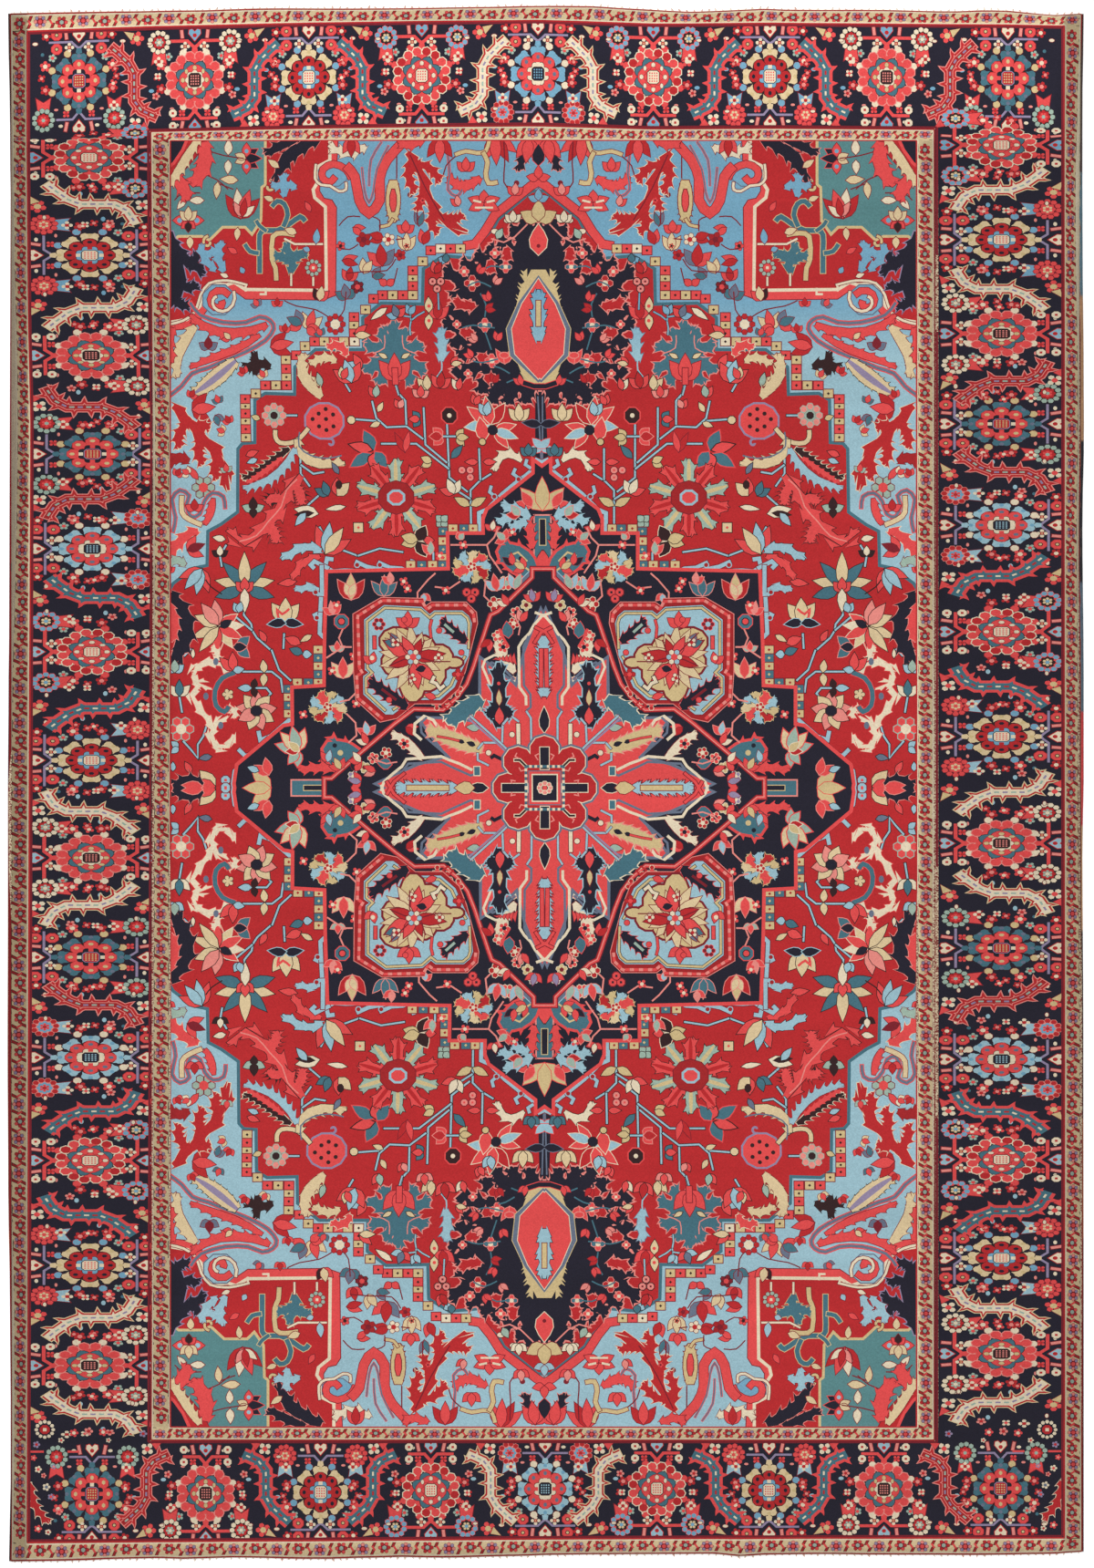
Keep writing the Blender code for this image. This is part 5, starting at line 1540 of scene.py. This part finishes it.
def border_leaf(kind):
    """The long toothed leaf between two rosettes, in one of three colourings, with its beaded rib."""
    drawing = Drawing()
    if kind == "teal":
        layers = ((7.6, 8.5, 6.6, 0.0, "coral"), (4.2, 4.0, 4.4, 0.0, "teal"))
    elif kind == "ivory":
        layers = ((5.6, 8.5, 5.0, 1.1, "straw"), (5.6, 8.5, 5.0, 0.0, "madder"),
                  (3.8, 5.5, 3.2, 0.0, "ivory"))
    else:
        layers = ((5.6, 8.5, 5.0, 1.1, "pink"), (5.6, 8.5, 5.0, 0.0, "madder"), (3.4, 3.5, 3.0, 0.0, "pink"),
                  (2.6, 2.2, 2.0, 0.0, "brick"))
    for half, reach, base, edge, dye in layers:
        drawing.laid += [(grown(part, edge), dye) for part in leaf_parts(half, reach, base)]
    spots, side = along_path(ring(*LEAF_PATH), np.linspace(0.06, 0.94, 13))
    beads = {"teal": ("ivory", "madder"), "ivory": ("lilac", "sage"), "red": ("sage", "lilac")}[kind]
    for k, (spot, way) in enumerate(zip(spots, side)):
        ahead = np.array((way[1], -way[0]))
        drawing.outline(strip(np.stack((spot - ahead * 2.3, spot + ahead * 2.3)), 2.0), beads[k % 2])
    return drawing


def leaf_neighbours():
    """Small flowers and ribbons at both ends of a leaf."""
    drawing = Drawing()
    drawing.bloom(0, 46, 8, 5, "coral", "sand")
    drawing.shape("sand", -14, 54, -3, 52, -6, 44, edge="maroon", line=0.6)
    drawing.bloom(-2, -47, 7, 4, "ivory", "coral", turn=0.7)
    drawing.shape("coral", 3, -53, 14, -55, 8, -46, edge="maroon", line=0.6)
    drawing.bloom(24, 20, 5, 4, "ivory", "madder")
    drawing.bloom(23, 4, 4, 4, "ivory", "coral", turn=0.8)
    drawing.bloom(-25, -26, 5, 4, "ivory", "madder")
    drawing.bloom(-26, -2, 4.4, 4, "coral", "ivory", turn=0.4)
    drawing.bloom(21, -18, 4.4, 5, "pink", "madder")
    drawing.bloom(-24, 14, 4, 5, "madder", "pink")
    drawing.dots("sky", 3, 16, -12, -16, 8, tall=0.7)
    drawing.dots("ivory", 2.6, 14, 40, -17, -38, tall=0.6, edge="maroon", line=0.6)
    return drawing


units = {kind: (rosette(kind), border_rest(kind)) for kind in ROSETTES}
leaves = {kind: border_leaf(kind) for kind in ("ivory", "red", "teal")}
neighbours = leaf_neighbours()
border = Drawing()


def lay_unit(kind, x, y, turn, across=1.0, along=1.0):
    """A rosette with what stands round it; along the sides its rosette is stretched on its own."""
    heart, rest = units[kind]
    border.place(rest, x, y, turn, across, along)
    if turn in (0, 180):
        border.place(heart, x, y, turn)
    else:
        border.place(heart, x, y, turn, 0.80, 1.22)


def lay_leaf(kind, x, y, turn, mirror, across=1.0, along=1.0):
    """A leaf and its neighbours, mirrored or not."""
    border.place(neighbours, x, y, turn, mirror * across, along)
    border.place(leaves[kind], x, y, turn, mirror * across, along)


for row, turn, places in ((1, 0,
                           ((-512, 781), (-385, 778), (-260, 778), (-136, 778), (-8.5, 779), (118, 779),
                            (246, 779), (374, 779), (507, 779))),
                          (-1, 180,
                           ((-498, -783), (-373, -783), (-247, -782), (-126, -780), (-0.6, -779),
                            (122, -779), (245, -781), (371, -780), (499, -779)))):
    kinds = "ABCDEDCBA"
    for kind, (x, y) in zip(kinds, places):
        lay_unit(kind, x, y, turn)
    for k, dye in enumerate(("red", "teal", "teal", "ivory", "ivory", "teal", "teal", "red")):
        x = (places[k][0] + places[k + 1][0]) / 2
        lay_leaf(dye, x, row * 779, turn, row * (1 if k % 2 == 0 else -1))
SIDE_KINDS = "DCBAEDCBAEDCB"
LEFT_ROWS = (173, 280, 390, 498, 602, 715, 834, 941, 1050, 1160, 1273, 1388, 1498)
RIGHT_ROWS = (159, 263, 366, 465, 576, 693, 808, 925, 1040, 1162, 1272, 1380, 1485)
SIDE_LEAVES = ("ivory", "ivory", "red", "red", "teal", "teal", "ivory", "ivory", "red", "teal", "teal",
               "ivory", "ivory")
# Which corner of its place each leaf's head points to, on the left: right or left, down or up
HEADS = ((1, -1), (1, 1), (-1, 1), (-1, -1), (1, -1), (1, 1), (-1, 1), (-1, -1), (1, -1), (1, 1), (-1, 1),
         (1, 1), (1, -1))
for side, rows, middle in ((-1, LEFT_ROWS, -501), (1, RIGHT_ROWS, 500)):
    facing = (-side,) * 4 + (side,) * 5 + (-side,) * 4
    for kind, row, way in zip(SIDE_KINDS, rows, facing):
        lay_unit(kind, middle, 859.75 - row, -90 * way, 0.86, 1.2)
    for k, (dye, head) in enumerate(zip(SIDE_LEAVES, HEADS)):
        low = rows[k + 1] if k < 12 else rows[k] + 112
        y = 859.75 - (rows[k] + low) / 2
        across, up = -side * head[0], head[1]
        lay_leaf(dye, middle, y, 90 * across, across * up, 0.86, 1.24)
# Corners at the near end: a ring flower, a cut leaf and small flowers fill what the rows leave
for side in (-1, 1):
    border.bloom(side * 550, -709, 14, 12, "ivory", "madder", core="ivory")
    border.trail("coral", 2.4, side * 566, -735, side * 551, -735)
    border.trail("coral", 2.4, side * 525, -735, side * 512, -735)
    border.frond("madder", 3, 6, 5, side * 566, -770, side * 561, -796, side * 545, -816, edge="ivory")
    for x, y, size, dye, heart in ((518, -713, 5, "coral", "ivory"), (502, -711, 5, "pink", "madder"),
                                   (486, -712, 5, "coral", "ivory"), (532, -722, 3.5, "ivory", "coral"),
                                   (442, -714, 4.4, "lilac", "madder"), (559, -727, 4, "lilac", "madder"),
                                   (557, -755, 4, "ivory", "coral"), (551, -762, 3, "pink", "madder"),
                                   (548, -775, 4.4, "ivory", "slate"), (543, -786, 3.6, "lilac", "coral"),
                                   (534, -803, 4, "pink", "coral"), (557, -822, 4.4, "coral", "ivory"),
                                   (546, -826, 3.4, "ivory", "madder"), (562, -742, 3.4, "coral", "pink"),
                                   (480, -722, 3, "ivory", "coral"), (540, -752, 3, "lilac", "pink")):
        border.bloom(side * x, y, size, 5, dye, heart)
for x, y in ((566.8, 835.3), (432.6, 724.2)):
    middle = -3.5 if x < 500 else 0.0
    for way in (1, -1):
        border.trail("maroon", 2.6, middle - x, way * y, middle + x, way * y)
        border.trail("maroon", 2.6, middle + way * x, -y, middle + way * x, y)
BORDER_PARTS = (("far", ring(-568, 723, 568, 723, 568, 836.5, -568, 836.5)),
                ("near", ring(-568, -836.5, 568, -836.5, 568, -723, -568, -723)),
                ("left", ring(-568, -723, -434, -723, -434, 723, -568, 723)),
                ("right", ring(427, -723, 568, -723, 568, 723, 427, 723)))
for name, ground in BORDER_PARTS:
    finish_pile(pile_region("pile_border_" + name, ground, "navy", border.laid))

# Pile of the two guard borders.
# Narrow ivory bands each side of the main border, with lilac and red flowers, slanting leaves and dark
# dashes between red edge lines, knotted in the same wool.
guards = Drawing()


def guard_row(start, end, pitch, wide, tall):
    """Flowers in turn lilac and red along a guard, with two leaves between each, drawn from one end."""
    drawing = Drawing()
    length = np.hypot(*np.subtract(end, start))
    count = int(round(length / pitch))
    pitch = length / count
    for k in range(count):
        x = (k + 0.5) * pitch - length / 2
        lift = 1 if k % 2 else -1
        if k % 2:
            flower, petals, first, second, heart = 6.6, 8, "pink", "lilac", "coral"
        else:
            flower, petals, first, second, heart = 6.2, 6, "coral", "madder", "sage"
        drawing.outline(disc(x, 0.6 * lift, flower * 0.8, flower * 0.7, 8), "maroon")
        for p in range(petals):
            angle = 2 * np.pi * p / petals
            drawing.outline(disc(x + flower * 0.78 * np.cos(angle),
                                 0.6 * lift + flower * 0.68 * np.sin(angle), 1.9, 1.7, 6),
                            second if p % 2 else first, "maroon", 0.35)
        drawing.outline(disc(x, 0.6 * lift, 2.4, 2.2, 6), heart)
        for step, rise, lean in ((0.46, 4.6, 1.2), (0.56, -4.4, 1.4), (0.5, 0.2, -1.0)):
            spot = x + step * pitch
            rise *= lift
            drawing.shape("brick" if lean > 0 else "coral", spot - 2.8, rise - 2.2 * lean, spot - 0.2,
                          rise - 2.3 * lean, spot + 2.8, rise + 2.2 * lean, spot + 0.2, rise + 2.3 * lean,
                          edge="soot" if lean > 0 else None, line=0.5)
        drawing.trail("olive", 0.9, x - 0.34 * pitch, 7.8 * lift, x + 0.06 * pitch, 7.4 * lift,
                      x + 0.2 * pitch, 8 * lift)
        drawing.trail("soot", 0.8, x + 0.2 * pitch, -7.6 * lift, x + 0.36 * pitch, -7.9 * lift)
    middle = np.add(start, end) / 2
    turn = np.degrees(np.arctan2(*np.subtract(end, start)[::-1]))
    guards.place(drawing, middle[0], middle[1], turn, wide, tall)


for start, end, pitch, wide, tall in (
        ((-590, 846.2), (590, 846.2), 23.5, 1.0, 1.08), ((590, -846.2), (-590, -846.2), 23.5, 1.0, 1.08),
        ((-578.5, -836), (-578.5, 836), 19, 1.0, 1.06), ((578.5, 836), (578.5, -836), 19, 1.0, 1.06),
        ((-434, 714), (427, 714), 21.5, 1.0, 0.96), ((427, -714), (-434, -714), 21.5, 1.0, 0.96),
        ((-422.5, -705), (-422.5, 705), 19, 1.0, 1.08), ((416.5, 705), (416.5, -705), 19, 1.0, 1.02)):
    guard_row(start, end, pitch, wide, tall)
for x, y, lines in ((590, 856, ((0.8, 1.6, "brick"), (2.4, 1.4, "ivory"))),
                    (568, 836.5, ((-0.9, 1.8, "madder"), (-2.6, 1.4, "ivory"))),
                    (431, 723, ((1.0, 2.0, "brick"), (2.7, 1.4, "ivory"))),
                    (408.5, 705, ((-0.8, 1.6, "madder"), (-2.2, 1.2, "ivory")))):
    middle = -3.5 if x == 431 else -2.5 if x == 408.5 else 0.0
    for inside, width, dye in lines:
        across, up = x - inside, y - inside
        for way in (1, -1):
            guards.trail(dye, width, middle - across, way * up, middle + across, way * up)
            guards.trail(dye, width, middle + way * across, -up, middle + way * across, up)
GUARD_PARTS = (("outer_far", ring(-590, 836.5, 590, 836.5, 590, 856, -590, 856)),
               ("outer_near", ring(-590, -856, 590, -856, 590, -836.5, -590, -836.5)),
               ("outer_left", ring(-590, -836.5, -568, -836.5, -568, 836.5, -590, 836.5)),
               ("outer_right", ring(568, -836.5, 590, -836.5, 590, 836.5, 568, 836.5)),
               ("inner_far", ring(-434, 705, 427, 705, 427, 723, -434, 723)),
               ("inner_near", ring(-434, -723, 427, -723, 427, -705, -434, -705)),
               ("inner_left", ring(-434, -705, -411, -705, -411, 705, -434, 705)),
               ("inner_right", ring(406, -705, 427, -705, 427, 705, 406, 705)))
for name, ground in GUARD_PARTS:
    finish_pile(pile_region("pile_guard_" + name, ground, "straw", guards.laid))

# Side bindings.
# Thick wool cords overcast round the outermost warps of each side. Pieces of different age and dye follow
# each other along the side, wide and round where new, worn thin elsewhere.
BINDING_HEIGHT = 8.5 * MM
CLEARANCE = 0.3 * MM
# Photo row where each stretch ends, counted in knots from the far end, and its colour
LEFT_DYES = ((190, (62, 44, 40)), (318, (44, 66, 66)), (493, (178, 122, 84)), (700, (22, 22, 30)),
             (860, (92, 98, 104)), (1350, (150, 110, 96)), (1395, (176, 116, 80)), (1540, (138, 150, 166)),
             (1720, (54, 36, 36)))
RIGHT_DYES = ((190, (56, 42, 40)), (323, (70, 96, 108)), (484, (150, 112, 80)), (639, (20, 20, 26)),
              (781, (72, 88, 100)), (907, (176, 52, 54)), (1021, (170, 130, 96)), (1228, (52, 34, 36)),
              (1360, (158, 104, 76)), (1435, (96, 62, 56)), (1720, (58, 28, 34)))


def binding_mesh(name, table, side, dyes):
    """A half round cord from the body's edge to the rug's side, following both, one ring of points for
    each row along it, pulled in a little where the overcast wool was worn through."""
    v = np.linspace(0, 1, 500)
    u = np.full_like(v, 0.0 if side < 0 else 1.0)
    body_x, y = body_plan(u, v)
    inner = body_x + side * CLEARANCE
    outer = side * (WIDTH / 2 - side_inset(table, v, (1,)))
    angle = np.linspace(0, np.pi, 9)
    rough = 1 + 0.10 * np.sin(y * 61) * np.sin(y * 23 + 1)
    middle, half = (inner + outer) / 2, np.abs(outer - inner) / 2
    x = middle[:, None] - side * half[:, None] * np.cos(angle)
    z = np.minimum(BINDING_HEIGHT, half + 3 * MM)[:, None] * rough[:, None] * np.sin(angle) ** 0.7
    points = np.stack((x, np.broadcast_to(y[:, None], x.shape), np.maximum(z, 0)), -1).reshape(-1, 3)
    rows, columns = x.shape
    ring_faces = []
    for k in range(columns):
        after = (k + 1) % columns
        row = np.arange(rows - 1) * columns
        face = np.stack((row + k, row + after, row + columns + after, row + columns + k), 1)
        ring_faces.append(face if side < 0 else face[:, ::-1])
    piece = new_mesh(name, points, np.concatenate(ring_faces))
    mesh = piece.data
    row_dye = np.searchsorted([end for end, colour in dyes], np.clip(859.75 - y / KNOT, 0, 1719))
    tint = np.array([linear(colour) for end, colour in dyes])[row_dye]
    layer = mesh.color_attributes.new("dye", "FLOAT_COLOR", "POINT")
    layer.data.foreach_set("color", np.repeat(tint, columns, 0).ravel())
    return piece


def binding_finish():
    """Wool overcast round the side: one turn beside the next, each a small ridge, in the piece's dye."""
    wiring = Wiring("binding_wool")
    dye = Link(wiring, wiring.node("Attribute", {"attribute_name": "dye"}, {}).outputs["Color"])
    turns = wiring.noise((30.0, 260.0, 0.0), 1.0)
    wear = wiring.noise((20.0, 14.0, 0.0), 4.0, 0.7)
    wiring.fill(wiring.shader, {
        "Base Color": wiring.shade(dye, turns * 0.5 + wear * 0.7 + 0.4), "Roughness": 0.9,
        "Normal": wiring.bump(turns, 1.2 * MM, 0.7)})
    return wiring.material


CORD = binding_finish()
bindings = []
for name, table, side, dyes in (("left", LEFT_SIDE, -1, LEFT_DYES), ("right", RIGHT_SIDE, 1, RIGHT_DYES)):
    piece = binding_mesh("overcast_" + name, table, side, dyes)
    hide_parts("binding_" + name)
    piece.data.materials.append(CORD)
    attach(piece, "root")
    bindings.append(piece)

# Warp ends.
# What is left of the fringe: a fuzzy strip of cut cotton warps along each end, with short flat locks of
# uneven length lying on the floor.
STRANDS = 148


def fringe_mesh(name, row, side, seed):
    """A low strip along the body's end and tapered locks from it, each leaning a little sideways."""
    rng = np.random.default_rng(seed)
    table = FAR_END if row else NEAR_END
    strip_u = np.linspace(0.001, 0.999, 2 * CELLS_ACROSS)
    x, edge = body_plan(strip_u, np.full_like(strip_u, float(row)))
    base = edge + side * CLEARANCE
    points, faces = [], []
    profile = np.array(((0.0, 0.0), (0.0, 2.4), (1.2, 3.0), (2.2, 1.6), (2.2, 0.0))) * MM
    ring_points = np.stack((np.repeat(x, 5), (base[:, None] + side * profile[:, 0]).ravel(),
                            np.tile(profile[:, 1], len(x))), 1)
    points.append(ring_points)
    for k in range(5):
        at, after = np.arange(len(x) - 1) * 5 + k, np.arange(len(x) - 1) * 5 + (k + 1) % 5
        faces.append(np.stack((at, after, after + 5, at + 5), 1)[:, ::side])
    u = (np.arange(STRANDS) + 0.5) / STRANDS
    share = np.clip(u, 0.003, 0.997)
    foot_x, foot_y = body_plan(share, np.full_like(share, float(row)))
    foot_y = foot_y + side * (CLEARANCE + 1.6 * MM)
    length = rng.uniform(3.0, 9.5, STRANDS) * MM
    lean = rng.uniform(-5, 5, STRANDS) * MM
    wide = rng.uniform(4.0, 9.0, STRANDS) * MM
    start = len(ring_points)
    blocks = []
    for along, thin, high in ((0.0, 1.0, 2.2), (0.55, 0.85, 1.8), (1.0, 0.35, 1.0)):
        y = np.clip(foot_y + side * length * along, -LENGTH / 2, LENGTH / 2)
        middle = foot_x + lean * along ** 1.5
        for across, z in ((-0.5, 0.0), (-0.3, high), (0.3, high), (0.5, 0.0)):
            blocks.append(np.stack((np.clip(middle + wide * thin * across, -WIDTH / 2, WIDTH / 2), y,
                                    np.full(STRANDS, z * MM)), 1))
    points.append(np.stack(blocks, 1).reshape(-1, 3))
    first = start + np.arange(STRANDS) * 12
    for level in (0, 4):
        for k in range(4):
            after = (k + 1) % 4
            faces.append(np.stack((first + level + k, first + level + after, first + level + 4 + after,
                                   first + level + 4 + k), 1)[:, ::side])
    faces.append(np.stack([first + k for k in (8, 9, 10, 11)], 1)[:, ::-side])
    faces.append(np.stack([first + k for k in (0, 1, 2, 3)], 1)[:, ::side])
    return new_mesh(name, np.concatenate(points), np.concatenate(faces))


def fringe_finish():
    """Undyed cotton gone cream, a little pink with rubbed wool, in fine threads along Y."""
    wiring = Wiring("warp_cotton")
    threads = wiring.noise((700.0, 60.0, 0.0), 2.0)
    stain = wiring.noise((9.0, 9.0, 0.0), 3.0)
    colour = wiring.mix(stain.between(0.4, 0.75), linear((232, 218, 200)), linear((206, 150, 132)))
    wiring.fill(wiring.shader, {
        "Base Color": wiring.shade(colour, threads * 0.5 + 0.78), "Roughness": 0.95,
        "Normal": wiring.bump(threads, 0.8 * MM, 0.8)})
    return wiring.material


THREAD = fringe_finish()
fringes = []
for name, row, side, seed in (("far", 1, 1, 11), ("near", 0, -1, 12)):
    piece = fringe_mesh("warps_" + name, row, side, seed)
    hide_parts("fringe_" + name)
    piece.data.materials.append(THREAD)
    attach(piece, "root")
    fringes.append(piece)

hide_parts("knotted_body")

# Floor, light and camera.
# A white studio floor, an even soft light from above with a little of it from one side, and a camera
# straight over the middle of the rug.
bpy.ops.mesh.primitive_plane_add(size=60, location=(0, 0, 0))
floor = bpy.context.object
floor.name = "floor"
paper = Wiring("white_paper")
paper.fill(paper.shader, {"Base Color": (0.9, 0.9, 0.9, 1.0), "Roughness": 1.0,
                          "Emission Color": (1.0, 1.0, 1.0, 1.0), "Emission Strength": 0.35})
floor.data.materials.append(paper.material)

world = bpy.data.worlds.new("studio")
world.use_nodes = True
world.node_tree.nodes["Background"].inputs["Color"].default_value = (1.0, 1.0, 1.0, 1.0)
world.node_tree.nodes["Background"].inputs["Strength"].default_value = 0.62
bpy.context.scene.world = world
lamp = bpy.data.lights.new("window", "SUN")
lamp.energy = 1.75
lamp.angle = 0.35
window = bpy.data.objects.new("window", lamp)
window.rotation_euler = (np.radians(-38), np.radians(-26), 0)
bpy.context.collection.objects.link(window)

bpy.context.scene.view_settings.view_transform = "Standard"
lens = bpy.data.cameras.new("over_the_middle")
lens.lens = 85
lens.sensor_fit = "VERTICAL"
lens.sensor_height = 36
lens.clip_end = 100
camera = bpy.data.objects.new("over_the_middle", lens)
FRAME_HEIGHT = 1720 * KNOT
camera.location = (1.4 * KNOT, -0.25 * KNOT, FRAME_HEIGHT * 85 / 36 + PILE_HEIGHT)
bpy.context.collection.objects.link(camera)
bpy.context.scene.camera = camera
